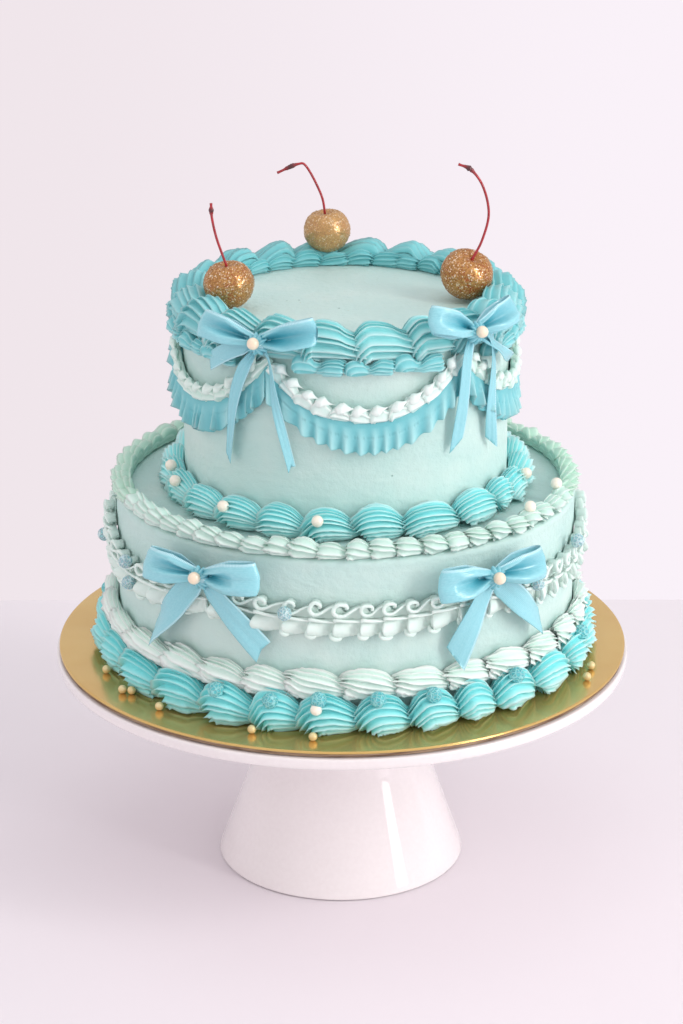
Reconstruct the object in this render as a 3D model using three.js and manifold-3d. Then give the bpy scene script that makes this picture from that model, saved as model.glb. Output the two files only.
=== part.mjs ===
// Two-tier buttercream cake on a gold board and a white footed cake stand.
// Millimetres, +Z up. The origin is on the axis of the stand, on the surface that its foot rests on.
// Angles are in degrees from the front of the cake, which faces -Y, and grow towards its right (+X).

import * as THREE from 'three';
import { mergeVertices } from 'three/addons/utils/BufferGeometryUtils.js';
import Module from 'manifold-3d';

const wasm = await Module();
wasm.setup();

// Air between pieces that lie on or against each other.
const GAP = 0.4;

// Stand: a plate on a hollow flared foot that is open underneath.
const PLATE_RADIUS = 155.6;
const PLATE_TOP = 126;
const PLATE_THICKNESS = 7;
const FOOT_RADIUS = 68.4;
const FOOT_NECK_RADIUS = 45.3;
const FOOT_FLARE_HEIGHT = 98.5;
const FOOT_WALL = 5;
const TURNED_SIDES = 48;

// Board under the cake, and how far to the right of its middle the cake stands.
const BOARD_RADIUS = 154;
const BOARD_THICKNESS = 3.2;
const BOARD_TOP = PLATE_TOP + GAP + BOARD_THICKNESS;
const CAKE_OFFSET = 2;

// Tiers.
const LOWER_RADIUS = 124;
const LOWER_BOTTOM = BOARD_TOP + GAP;
const LOWER_TOP = 219.5;
const UPPER_RADIUS = 87;
const UPPER_BOTTOM = LOWER_TOP + GAP;
const UPPER_TOP = 319.5;
const TIER_EDGE = 4;

// Piped rings: number of shells, how far they stand out and how high they are.
const LOWER_BASE = { shells: 31, depth: 15.5, height: 22.5, thin: 0.7, phase: 3 };
const LOWER_COLLAR = { shells: 30, depth: 7.5, height: 13.5, thin: 0.5, phase: 0 };
const LOWER_EDGE = { shells: 58, inner: 114.8, outer: 125.6, height: 11, thin: 0.55, phase: 0 };
const UPPER_BASE = { shells: 24, depth: 16, height: 17, thin: 0.62, phase: 3 };
const UPPER_BORDER = { shells: 20, reach: 10.8, height: 14.5, drape: 10, thin: 0.75, phase: 3 };

// The cone between the two rings at the foot of the lower tier.
const CONE_HEIGHT = 147.4;
const CONE_SLOPE = 0.45;

// The swags hang from one joint to the next. Each joint of the garland has its height there and the
// place of a bead along the swag that starts at it, from -1 to 1.
const GARLAND_JOINTS = [
  { angle: -33, height: 192.5, bead: -0.41 },
  { angle: 33, height: 192.5, bead: -0.46 },
  { angle: 90, height: 203, bead: 0.3 },
  { angle: 150, height: 192.5, bead: -0.3 },
  { angle: 210, height: 192.5, bead: 0.25 },
  { angle: 270, height: 203, bead: 0.06 },
];
const UPPER_JOINTS = [-26.5, 41, 110, 188.5, 267];

// Bows: the angle and the height of each knot.
const LOWER_KNOTS = [[-33, 208], [33, 208], [150, 208], [210, 208]];
const UPPER_KNOTS = [[-26.5, 322.5], [41, 323.5], [188.5, 312]];
const PEARL_RADIUS = 3.4;

// Swags.
const GARLAND = { low: 188.5, above: 12, below: 12, depth: 7.5, petals: 8 };
const STRING_SWAG = { low: 284.5, rise: 29, half: 4.4, depth: 5.2, shells: 10 };
const RUFFLE = { low: 263.3, rise: 27, depth: 5.4, flare: 3.6, pleats: 9 };
const FRINGE = { low: 303.6, high: 309, depth: 4.4, shells: 6 };

// Cherries: the angle and distance of the middle from the axis, the radius, how far it sits above the
// cake, the way its top leans, and the stem's course from its foot.
const CHERRIES = [
  {
    angle: -72,
    radius: 63.6,
    size: 13.2,
    lift: 0,
    lean: [-0.12, -0.05],
    stem: [[0, 0, 0], [-4.7, 0, 14.1], [-7, 0, 25.2], [-7.3, 0, 32.7]],
  },
  {
    angle: 187.6,
    radius: 76.6,
    size: 12.8,
    lift: 5.5,
    lean: [-0.12, -0.05],
    stem: [[0, 0, 0], [-2, 0, 10.3], [-9.8, 0, 25.7], [-15, 0, 27.3], [-26, 0, 22.5]],
  },
  {
    angle: 87.8,
    radius: 63.6,
    size: 13.8,
    lift: 0,
    lean: [0.27, -0.33],
    stem: [[0, 0, 0], [4.6, 0, 9.3], [7.9, 0, 23.4], [4.9, 0, 37.4], [-1.3, 0, 46.5], [-8.2, 0, 49.7]],
  },
];
const CHERRY_SQUAT = 0.96;
const CHERRY_DIMPLE = 0.7;
const STEM_RADIUS = 1.1;

// A repeatable run of numbers from 0 to 1.
function dice(seed) {
  let state = seed;
  return () => {
    state = (state * 1664525 + 1013904223) % 4294967296;
    return state / 4294967296;
  };
}

// A point at an angle, a distance from the axis and a height.
function around(angle, radius, height) {
  const turn = THREE.MathUtils.degToRad(angle);
  return new THREE.Vector3(radius * Math.sin(turn), -radius * Math.cos(turn), height);
}

// Six times the signed volume of an indexed triangle mesh: negative when its faces point in.
function signedVolume(geometry) {
  const place = geometry.getAttribute('position');
  const index = geometry.getIndex();
  const [a, b, c] = [new THREE.Vector3(), new THREE.Vector3(), new THREE.Vector3()];
  let volume = 0;
  for (let i = 0; i < index.count; i += 3) {
    a.fromBufferAttribute(place, index.getX(i));
    b.fromBufferAttribute(place, index.getX(i + 1));
    c.fromBufferAttribute(place, index.getX(i + 2));
    volume += a.dot(b.cross(c));
  }
  return volume;
}

// Turns the faces of a closed mesh outwards.
function outward(geometry) {
  if (signedVolume(geometry) < 0) {
    geometry.setIndex(Array.from(geometry.getIndex().array).reverse());
  }
  return geometry;
}

// Joins rows of points into one closed surface. Each row is a ring with the same number of points.
// A looped skin joins its last row to its first, and an open one is closed by a fan at each end.
function skin(rows, looped) {
  const size = rows[0].length;
  const count = rows.length;
  const index = [];
  for (let i = 0; i < (looped ? count : count - 1); i += 1) {
    for (let j = 0; j < size; j += 1) {
      const here = i * size;
      const next = ((i + 1) % count) * size;
      const step = (j + 1) % size;
      index.push(here + j, here + step, next + step, here + j, next + step, next + j);
    }
  }
  for (let j = 1; !looped && j < size - 1; j += 1) {
    const end = (count - 1) * size;
    index.push(0, j + 1, j, end, end + j, end + j + 1);
  }
  const geometry = new THREE.BufferGeometry();
  const places = rows.flat().flatMap((point) => point.toArray());
  geometry.setAttribute('position', new THREE.Float32BufferAttribute(places, 3));
  geometry.setIndex(index);
  return outward(geometry);
}

// Leaves only shared positions and an index, without the flat triangles at a pole.
function plain(geometry) {
  const bare = geometry.clone();
  for (const name of Object.keys(bare.attributes)) {
    if (name !== 'position') bare.deleteAttribute(name);
  }
  const merged = mergeVertices(bare, 1e-4);
  const corners = merged.getIndex().array;
  const kept = [];
  for (let i = 0; i < corners.length; i += 3) {
    const [a, b, c] = corners.slice(i, i + 3);
    if (a !== b && b !== c && c !== a) kept.push(a, b, c);
  }
  merged.setIndex(kept);
  return merged;
}

// A turned solid about +Z, from an outline of [radius, height] pairs.
function turned(outline, sides) {
  const points = outline.map(([radius, height]) => new THREE.Vector2(radius, height));
  const lathe = new THREE.LatheGeometry(points, sides);
  lathe.rotateX(Math.PI / 2);
  return outward(plain(lathe));
}

function toSolid(geometry) {
  const bare = plain(geometry);
  return new wasm.Manifold(new wasm.Mesh({
    numProp: 3,
    vertProperties: new Float32Array(bare.getAttribute('position').array),
    triVerts: new Uint32Array(bare.getIndex().array),
  }));
}

function fromSolid(solid) {
  const mesh = solid.getMesh();
  const geometry = new THREE.BufferGeometry();
  geometry.setAttribute('position', new THREE.BufferAttribute(new Float32Array(mesh.vertProperties), 3));
  geometry.setIndex(Array.from(mesh.triVerts));
  return geometry;
}

function join(geometries) {
  return fromSolid(geometries.map(toSolid).reduce((whole, piece) => whole.add(piece)));
}

function cut(geometry, tools) {
  return fromSolid(tools.map(toSolid).reduce((whole, tool) => whole.subtract(tool), toSolid(geometry)));
}

// A pearl pressed into the icing.
function pearl(angle, radius, height) {
  const ball = new THREE.IcosahedronGeometry(PEARL_RADIUS, 0);
  const place = around(angle, radius, height);
  ball.translate(place.x, place.y, place.z);
  return ball;
}

// The size of a pulled shell along its length u: it swells at once and draws out to a thin tail.
function swell(u, thin) {
  return thin + (1 - thin) * Math.sin(Math.PI * u ** 0.7);
}

// A closed ring of pulled shells. outline(size, angle) gives one section as [radius, height] pairs.
function shellRing(ring, samples, seed, outline) {
  const random = dice(seed);
  const rows = [];
  for (let shell = 0; shell < ring.shells; shell += 1) {
    const full = 0.93 + 0.12 * random();
    for (let sample = 0; sample < samples; sample += 1) {
      const u = sample / samples;
      const angle = ring.phase + (shell + u) * 360 / ring.shells;
      const section = outline(swell(u, ring.thin) * full, angle);
      rows.push(section.map(([radius, height]) => around(angle, radius, height)));
    }
  }
  return skin(rows, true);
}

// The outer radius of the foot at a height: it flares out towards the floor.
function footRadius(height) {
  const left = Math.max(0, 1 - height / FOOT_FLARE_HEIGHT);
  return FOOT_NECK_RADIUS + (FOOT_RADIUS - FOOT_NECK_RADIUS) * left ** 2;
}

function makeStand() {
  const under = PLATE_TOP - PLATE_THICKNESS;
  const inside = [98, 30, 0].map((height) => [footRadius(height) - FOOT_WALL, height]);
  const outside = [1.5, 22, 46, 98].map((height) => [footRadius(height), height]);
  return turned([
    [0, under - 1],
    [FOOT_NECK_RADIUS - FOOT_WALL, under - 1],
    ...inside,
    [FOOT_RADIUS - 0.8, 0],
    ...outside,
    [FOOT_NECK_RADIUS + 5, under],
    [PLATE_RADIUS - 4, under],
    [PLATE_RADIUS, PLATE_TOP - 3.5],
    [PLATE_RADIUS - 1.6, PLATE_TOP],
    [0, PLATE_TOP],
  ], TURNED_SIDES);
}

function makeBoard() {
  const bottom = BOARD_TOP - BOARD_THICKNESS;
  return turned([
    [0, bottom],
    [BOARD_RADIUS - 0.8, bottom],
    [BOARD_RADIUS, bottom + 1.4],
    [BOARD_RADIUS - 0.9, BOARD_TOP],
    [0, BOARD_TOP],
  ], TURNED_SIDES);
}

function makeTier(radius, bottom, top) {
  return turned([
    [0, bottom],
    [radius, bottom],
    [radius, top - TIER_EDGE],
    [radius - TIER_EDGE, top],
    [0, top],
  ], TURNED_SIDES);
}

// The height of the cone that parts the two lower rings.
function coneHeight(radius) {
  return CONE_HEIGHT + CONE_SLOPE * (radius - LOWER_RADIUS);
}

// Large shells in the corner of a wall and the floor under it, kept below the height that limit gives.
function cornerSection(wall, floor, depth, height, limit) {
  return [
    [wall, floor],
    [wall + 0.75 * depth, floor],
    [wall + depth, floor + 0.3 * height],
    [wall + 0.86 * depth, floor + 0.68 * height],
    [wall + 0.5 * depth, floor + 0.97 * height],
    [wall, floor + 0.9 * height],
  ].map(([r, z]) => [r, Math.min(z, limit(r))]);
}

function makeLowerBase() {
  const wall = LOWER_RADIUS + GAP;
  const floor = BOARD_TOP + GAP;
  const ring = shellRing(LOWER_BASE, 3, 11, (size) => cornerSection(
    wall, floor, LOWER_BASE.depth * size, LOWER_BASE.height * size, coneHeight));
  const beads = [-66, -54.5, -42.5, -20, -7, 62.5, 68.5, 125, 175, 235];
  const pearls = beads.map((angle) => pearl(angle, wall + 12.2, floor + PEARL_RADIUS + 0.2));
  return join([ring, ...pearls]);
}

function makeLowerCollar() {
  const wall = LOWER_RADIUS + GAP;
  return shellRing(LOWER_COLLAR, 3, 23, (size) => {
    const depth = LOWER_COLLAR.depth * (0.3 + 0.7 * size);
    const height = LOWER_COLLAR.height * size;
    const foot = (radius) => coneHeight(radius) + GAP;
    return [
      [wall, foot(wall)],
      [wall + 0.8 * depth, foot(wall + 0.8 * depth)],
      [wall + depth, foot(wall + depth) + 0.4 * height],
      [wall, foot(wall) + height],
    ];
  });
}

function makeLowerEdge() {
  const floor = LOWER_TOP + GAP;
  const { inner, outer, height } = LOWER_EDGE;
  const ring = shellRing(LOWER_EDGE, 2, 37, (size) => [
    [inner, floor],
    [outer - 3.2, floor],
    [outer - 1.5 * (1 - size), floor + 0.35 * height],
    [outer - 5, floor + height * size],
  ]);
  const pearls = [52.8, 65.2, -65.2].map((angle) => pearl(angle, outer - 5, floor + height));
  return join([ring, ...pearls]);
}

function makeUpperBase() {
  const wall = UPPER_RADIUS + GAP;
  const floor = LOWER_TOP + GAP;
  const ring = shellRing(UPPER_BASE, 3, 41, (size) => cornerSection(
    wall, floor, UPPER_BASE.depth * size, UPPER_BASE.height * size, () => Infinity));
  const beads = [-66, -37, -8, 68, 82, 142, 218];
  const pearls = beads.map((angle) => pearl(angle, wall + 11, floor + 12));
  return join([ring, ...pearls]);
}

// The degrees from an angle to the nearest joint of the upper swags.
function fromJoint(angle) {
  return Math.min(...UPPER_JOINTS.map((joint) => Math.abs(((angle - joint + 540) % 360) - 180)));
}

function makeUpperBorder() {
  const wall = UPPER_RADIUS + GAP;
  const top = UPPER_TOP + GAP;
  const { reach, height, drape } = UPPER_BORDER;
  const crest = UPPER_RADIUS - TIER_EDGE;
  const ring = shellRing(UPPER_BORDER, 3, 53, (size, angle) => {
    const lifted = THREE.MathUtils.smoothstep(10 - fromJoint(angle), 0, 4) * 5;
    const hem = UPPER_TOP - drape + lifted;
    return [
      [crest - reach * size, top],
      [crest + 0.2, top],
      [wall, top - TIER_EDGE],
      [wall, hem],
      [wall + 3.2 * size, hem],
      [wall + 5.8 * size, hem + 5],
      [wall + 4.6 * size, top + 0.35 * height * size],
      [crest + 1, top + 0.98 * height * size],
      [crest - 0.8 * reach * size, top + 0.66 * height * size],
    ];
  });
  const hollows = CHERRIES.map(({ angle, radius, size, lift }) => {
    const hollow = new THREE.IcosahedronGeometry(size + 0.9, 2);
    const place = around(angle, radius, UPPER_TOP + GAP + size + lift);
    hollow.translate(place.x, place.y, place.z);
    return hollow;
  });
  return cut(ring, hollows);
}

// How far a swag has climbed, from 0 in its middle to 1 at the knots, at a share t of its half width.
function climb(t) {
  return 0.75 * t ** 2 + 0.25 * t ** 4;
}

// One swag from a joint to the next. outline(t, wave) gives a section as [radius, height] pairs, where
// t runs from -1 to 1 and wave is 0 and 1 in turn. The swag keeps to a share of its whole width.
function swag(from, to, steps, share, outline) {
  const middle = (from + to) / 2;
  const half = (to - from) / 2;
  const rows = [];
  for (let i = 0; i <= steps; i += 1) {
    const t = share * (2 * i / steps - 1);
    rows.push(outline(t, i % 2).map(([radius, height]) => around(middle + t * half, radius, height)));
  }
  return skin(rows, false);
}

// Pairs each joint's angle with the next one round the cake.
function spans(angles) {
  return angles.map((angle, i) => [angle, i + 1 < angles.length ? angles[i + 1] : angles[0] + 360]);
}

function makeGarland([from, to], i) {
  const wall = LOWER_RADIUS + GAP;
  const { low, above, below, depth, petals } = GARLAND;
  const start = GARLAND_JOINTS[i];
  const end = GARLAND_JOINTS[(i + 1) % GARLAND_JOINTS.length];
  const middle = (t) => low + ((t < 0 ? start.height : end.height) - low) * t * t;
  const band = swag(from, to, 2 * petals, 0.985, (t, wave) => {
    const full = 0.72 + 0.28 * wave;
    return [
      [wall, middle(t) - below * full],
      [wall + depth * full, middle(t) - 0.72 * below],
      [wall + 0.62 * depth, middle(t)],
      [wall + 0.9 * depth * full, middle(t) + 0.7 * above],
      [wall, middle(t) + above * full],
    ];
  });
  const angle = (from + to) / 2 + start.bead * (to - from) / 2;
  return join([band, pearl(angle, wall + depth, middle(start.bead) + 2)]);
}

function makeString([from, to]) {
  const wall = UPPER_RADIUS + GAP;
  const { low, rise, half, depth, shells } = STRING_SWAG;
  return swag(from, to, 2 * shells, 0.9, (t, wave) => {
    const height = low + rise * climb(t);
    const full = 0.68 + 0.32 * wave;
    return [
      [wall, height - half],
      [wall + 0.8 * depth, height - half],
      [wall + depth * full, height + 0.3 * half],
      [wall, height + half * full],
    ];
  });
}

function makeRuffle([from, to]) {
  const wall = UPPER_RADIUS + GAP;
  const ceiling = UPPER_TOP - UPPER_BORDER.drape - GAP;
  return swag(from, to, 2 * RUFFLE.pleats, 0.99, (t, wave) => {
    const string = STRING_SWAG.low + STRING_SWAG.rise * climb(t);
    const top = Math.min(string - STRING_SWAG.half - GAP, ceiling);
    const bottom = RUFFLE.low + RUFFLE.rise * t * t - 1.2 * wave;
    return [
      [wall, bottom + 1.5],
      [wall + RUFFLE.depth + RUFFLE.flare * wave, bottom],
      [wall + RUFFLE.depth - 0.8, top],
      [wall, top],
    ];
  });
}

// The row of small shells on the wall just under the border, between two joints.
function makeFringe([from, to]) {
  const wall = UPPER_RADIUS + GAP;
  const { low, high, depth, shells } = FRINGE;
  return swag(from, to, 2 * shells, 0.68, (t, wave) => [
    [wall, low + 1.2],
    [wall + depth * (0.6 + 0.4 * wave), low + 1 - wave],
    [wall + depth * (0.75 + 0.25 * wave), high - 1.5],
    [wall, high],
  ]);
}

// A bow lies on a wall: x runs to the right along it, y up and d out from it, all from the knot.
function onWall(knot, x, y, d) {
  const radius = knot.radius + d;
  return around(knot.angle + THREE.MathUtils.radToDeg(x / knot.radius), radius, knot.height + y);
}

// A puffed loop of ribbon from the knot to an outer edge that is higher, taller or nearer as given.
function makeLoop(knot, side, { reach, rise, tall, puff }) {
  const stations = [
    [0.06, 5, 0.4],
    [0.66, tall, 1],
    [1, 0.94 * tall, 0.5],
  ];
  const rows = stations.map(([share, height, deep]) => {
    const outline = [[-0.5, 0.3], [-0.26, 1], [0.26, 1], [0.5, 0.3], [0.3, 0], [-0.3, 0]];
    return outline.map(([v, d]) => onWall(
      knot, side * reach * share, rise * share + v * height, 0.4 + d * deep * puff));
  });
  return skin(rows, false);
}

// A flat ribbon tail along points [x, y, d], from narrow at the knot to its full width, cut slanted.
function makeTail(knot, course, width, slant) {
  const rows = course.map(([x, y, d], i) => {
    const [fromX, fromY] = course[Math.max(i - 1, 0)];
    const [toX, toY] = course[Math.min(i + 1, course.length - 1)];
    const run = new THREE.Vector2(toX - fromX, toY - fromY).normalize();
    const half = (i === 0 ? 0.55 : 1) * width / 2;
    const lead = i === course.length - 1 ? slant / 2 : 0;
    const edge = (sign, out) => onWall(
      knot, x + sign * (-run.y * half + run.x * lead), y + sign * (run.x * half + run.y * lead), d + out);
    return [edge(-1, 0), edge(1, 0), edge(1, 1.1), edge(-1, 1.1)];
  });
  return skin(rows, false);
}

function makeKnot(knot, size, depth) {
  const rows = [[0, 1], [1, 0.75]].map(([d, share]) => {
    const row = [];
    for (let i = 0; i < 6; i += 1) {
      const turn = i * Math.PI / 3;
      row.push(onWall(knot, share * size * Math.cos(turn), share * size * Math.sin(turn), d * depth));
    }
    return row;
  });
  return skin(rows, false);
}

function makeBow(knot, loops, tails, width) {
  const bead = pearl(knot.angle, knot.radius + knot.depth + 1.6, knot.height);
  return join([
    makeKnot(knot, knot.size, knot.depth),
    bead,
    makeLoop(knot, -1, loops[0]),
    makeLoop(knot, 1, loops[1]),
    ...tails.map(({ course, slant, wide = width }) => makeTail(knot, course, wide, slant)),
  ]);
}

function makeLowerBow([angle, height], i) {
  const knot = { angle, radius: LOWER_RADIUS + 8.4, height, size: 6, depth: 5.5 };
  const sway = [0, 1.5, -1, 1][i];
  const loops = [
    { reach: 33, rise: 1 + sway, tall: 19, puff: 9 },
    { reach: 32, rise: 3 - sway, tall: 18.5, puff: 9 },
  ];
  const tails = [
    { course: [[-1, -2, 0.6], [-17, -20, 2.5], [-37, -42, 2.5]], slant: -12 },
    { course: [[1, -2, 0.6], [14, -18, 2.5], [31, -38, 2.5]], slant: 12 },
  ];
  return makeBow(knot, loops, tails, 13);
}

function makeUpperBow([angle, height], i) {
  const knot = { angle, radius: UPPER_RADIUS + 8, height, size: 5.5, depth: 5.5 };
  const sway = [0, 2, -4][i];
  const loops = [
    { reach: 30, rise: 8 + sway, tall: 14, puff: 8 },
    { reach: 28.5, rise: 8 - Math.abs(sway), tall: 15, puff: 8 },
  ];
  const tails = [
    { course: [[-2, -3.5, 1.4], [-15, -34, 2.6], [-25, -68, 1]], slant: -3 },
    { course: [[2, -3.5, 1.4], [7, -34, 2.6], [14, -67, 1]], slant: 3 },
    { course: [[-4, -1, 1], [-29, -15, 2.6]], slant: 2, wide: 8 },
  ];
  return makeBow(knot, loops, tails, 6);
}

function cherryPlace({ angle, radius, size, lift }) {
  return around(angle, radius, UPPER_TOP + GAP + size + lift);
}

// The way that a cherry's top points.
function cherryAxis({ lean: [x, y] }) {
  return new THREE.Vector3(x, y, Math.sqrt(1 - x * x - y * y));
}

// A round, slightly flattened fruit with a dimple at its top.
function makeCherry(cherry) {
  const tall = CHERRY_SQUAT * cherry.size;
  const outline = [[0, -tall]];
  for (let i = 1; i < 7; i += 1) {
    const turn = -Math.PI / 2 + i * Math.PI / 7.4;
    outline.push([cherry.size * Math.cos(turn), tall * Math.sin(turn)]);
  }
  outline.push([0.32 * cherry.size, 0.93 * tall], [0, CHERRY_DIMPLE * tall]);
  const fruit = turned(outline, 12);
  const upright = new THREE.Vector3(0, 0, 1);
  fruit.applyQuaternion(new THREE.Quaternion().setFromUnitVectors(upright, cherryAxis(cherry)));
  const place = cherryPlace(cherry);
  fruit.translate(place.x, place.y, place.z);
  return fruit;
}

// A thin stem that stands in the dimple.
function makeStem(cherry) {
  const reach = CHERRY_DIMPLE * CHERRY_SQUAT * cherry.size + 1.2;
  const foot = cherryPlace(cherry).add(cherryAxis(cherry).multiplyScalar(reach));
  const points = cherry.stem.map(([x, y, z]) => new THREE.Vector3(x, y, z).add(foot));
  const section = new THREE.Shape();
  for (let i = 0; i < 5; i += 1) {
    const turn = i * 2 * Math.PI / 5;
    section[i ? 'lineTo' : 'moveTo'](STEM_RADIUS * Math.cos(turn), STEM_RADIUS * Math.sin(turn));
  }
  const path = new THREE.CatmullRomCurve3(points);
  const settings = { steps: 8, bevelEnabled: false, extrudePath: path };
  return outward(plain(new THREE.ExtrudeGeometry(section, settings)));
}

// Finishes: colour, roughness and metalness.
const CERAMIC = { color: 0xf4f3f4, roughness: 0.12, metalness: 0 };
const GOLD_FOIL = { color: 0xc9a067, roughness: 0.28, metalness: 1 };
const BUTTERCREAM = { color: 0xb4d8d4, roughness: 0.55, metalness: 0 };
const TEAL_ICING = { color: 0x63c3c6, roughness: 0.45, metalness: 0 };
const MINT_ICING = { color: 0xd6ebe2, roughness: 0.45, metalness: 0 };
const SATIN = { color: 0x8fcfde, roughness: 0.35, metalness: 0 };
const GOLD_GLITTER = { color: 0xb8803f, roughness: 0.3, metalness: 0.6 };
const CHERRY_STEM = { color: 0xa3262a, roughness: 0.4, metalness: 0 };

const whole = new THREE.Group();
const cake = new THREE.Group();
cake.position.x = CAKE_OFFSET;
whole.add(cake);

function place(name, geometry, finish, group = cake) {
  const mesh = new THREE.Mesh(geometry, new THREE.MeshStandardMaterial(finish));
  mesh.name = name;
  group.add(mesh);
}

place('stand', makeStand(), CERAMIC, whole);
place('board', makeBoard(), GOLD_FOIL, whole);
place('lower_tier', makeTier(LOWER_RADIUS, LOWER_BOTTOM, LOWER_TOP), BUTTERCREAM);
place('upper_tier', makeTier(UPPER_RADIUS, UPPER_BOTTOM, UPPER_TOP), BUTTERCREAM);
place('lower_base_shells', makeLowerBase(), TEAL_ICING);
place('lower_collar_shells', makeLowerCollar(), MINT_ICING);
place('lower_edge_shells', makeLowerEdge(), MINT_ICING);
place('upper_base_shells', makeUpperBase(), TEAL_ICING);
place('upper_border_shells', makeUpperBorder(), TEAL_ICING);
spans(GARLAND_JOINTS.map(({ angle }) => angle)).forEach((span, i) => {
  place(`lower_garland_${i + 1}`, makeGarland(span, i), MINT_ICING);
});
spans(UPPER_JOINTS).forEach((span, i) => {
  place(`upper_fringe_${i + 1}`, makeFringe(span), TEAL_ICING);
  place(`upper_string_${i + 1}`, makeString(span), MINT_ICING);
  place(`upper_ruffle_${i + 1}`, makeRuffle(span), TEAL_ICING);
});
LOWER_KNOTS.forEach((knot, i) => place(`lower_bow_${i + 1}`, makeLowerBow(knot, i), SATIN));
UPPER_KNOTS.forEach((knot, i) => place(`upper_bow_${i + 1}`, makeUpperBow(knot, i), SATIN));
CHERRIES.forEach((cherry, i) => {
  place(`cherry_${i + 1}`, makeCherry(cherry), GOLD_GLITTER);
  place(`cherry_stem_${i + 1}`, makeStem(cherry), CHERRY_STEM);
});

export default whole;
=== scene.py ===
import math

import bpy
import numpy as np
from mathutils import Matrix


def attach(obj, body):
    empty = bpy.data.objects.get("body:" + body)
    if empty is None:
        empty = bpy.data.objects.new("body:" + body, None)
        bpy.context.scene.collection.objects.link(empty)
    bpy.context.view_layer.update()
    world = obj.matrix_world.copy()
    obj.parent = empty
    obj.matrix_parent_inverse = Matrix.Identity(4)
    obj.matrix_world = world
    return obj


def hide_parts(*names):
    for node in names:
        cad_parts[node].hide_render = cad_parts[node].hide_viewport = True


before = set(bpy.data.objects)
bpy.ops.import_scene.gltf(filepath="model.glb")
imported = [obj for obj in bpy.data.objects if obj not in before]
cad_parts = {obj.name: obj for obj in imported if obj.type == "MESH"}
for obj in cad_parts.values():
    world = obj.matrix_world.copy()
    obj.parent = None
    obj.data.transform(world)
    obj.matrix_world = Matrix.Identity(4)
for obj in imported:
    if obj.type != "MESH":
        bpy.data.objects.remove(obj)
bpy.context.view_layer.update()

# Cake stand: white stoneware, thrown as a plate on a hollow cone of a foot, and dipped in a clear
# glossy glaze, so the light of a window runs down the foot as one long bright streak.
MM = 0.001
PLATE_RADIUS = 156.8
PLATE_TOP = 126.0
PLATE_THICKNESS = 7.0
FOOT_RADIUS = 69.1
FOOT_NECK = 45.3
FOOT_FLARE = 98.5
FOOT_SLOPE = 0.363
FOOT_BLEND = 2.0
FOOT_OFF = 0.8
FOOT_WALL = 5.0


def turned(outline, sides=160):
    """A turned surface: each point (r, z) of the outline goes round the z axis as
    (r sin a, -r cos a, z) with a from 0 to a full turn."""
    outline = np.asarray(outline, float)
    turn = np.linspace(0, 2 * np.pi, sides, endpoint=False)
    radius, height = outline[:, :1], outline[:, 1:]
    return np.stack([radius * np.sin(turn), -radius * np.cos(turn), height + 0 * turn], -1)


def rounded(corners, sizes, steps=5):
    """An outline with each corner rounded: near a corner it follows the quadratic curve
    (1-t)^2 a + 2 t (1-t) corner + t^2 b between two points that lie its size away along both sides."""
    corners = [np.array(c, float) for c in corners]
    out = [corners[0]]
    t = np.linspace(0, 1, steps)[:, None]
    for i in range(1, len(corners) - 1):
        before, corner, after = corners[i - 1], corners[i], corners[i + 1]
        a = corner + (before - corner) * min(0.5, sizes[i] / np.linalg.norm(before - corner))
        b = corner + (after - corner) * min(0.5, sizes[i] / np.linalg.norm(after - corner))
        out.extend((1 - t) ** 2 * a + 2 * t * (1 - t) * corner + t ** 2 * b)
    out.append(corners[-1])
    return np.array(out)


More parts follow.
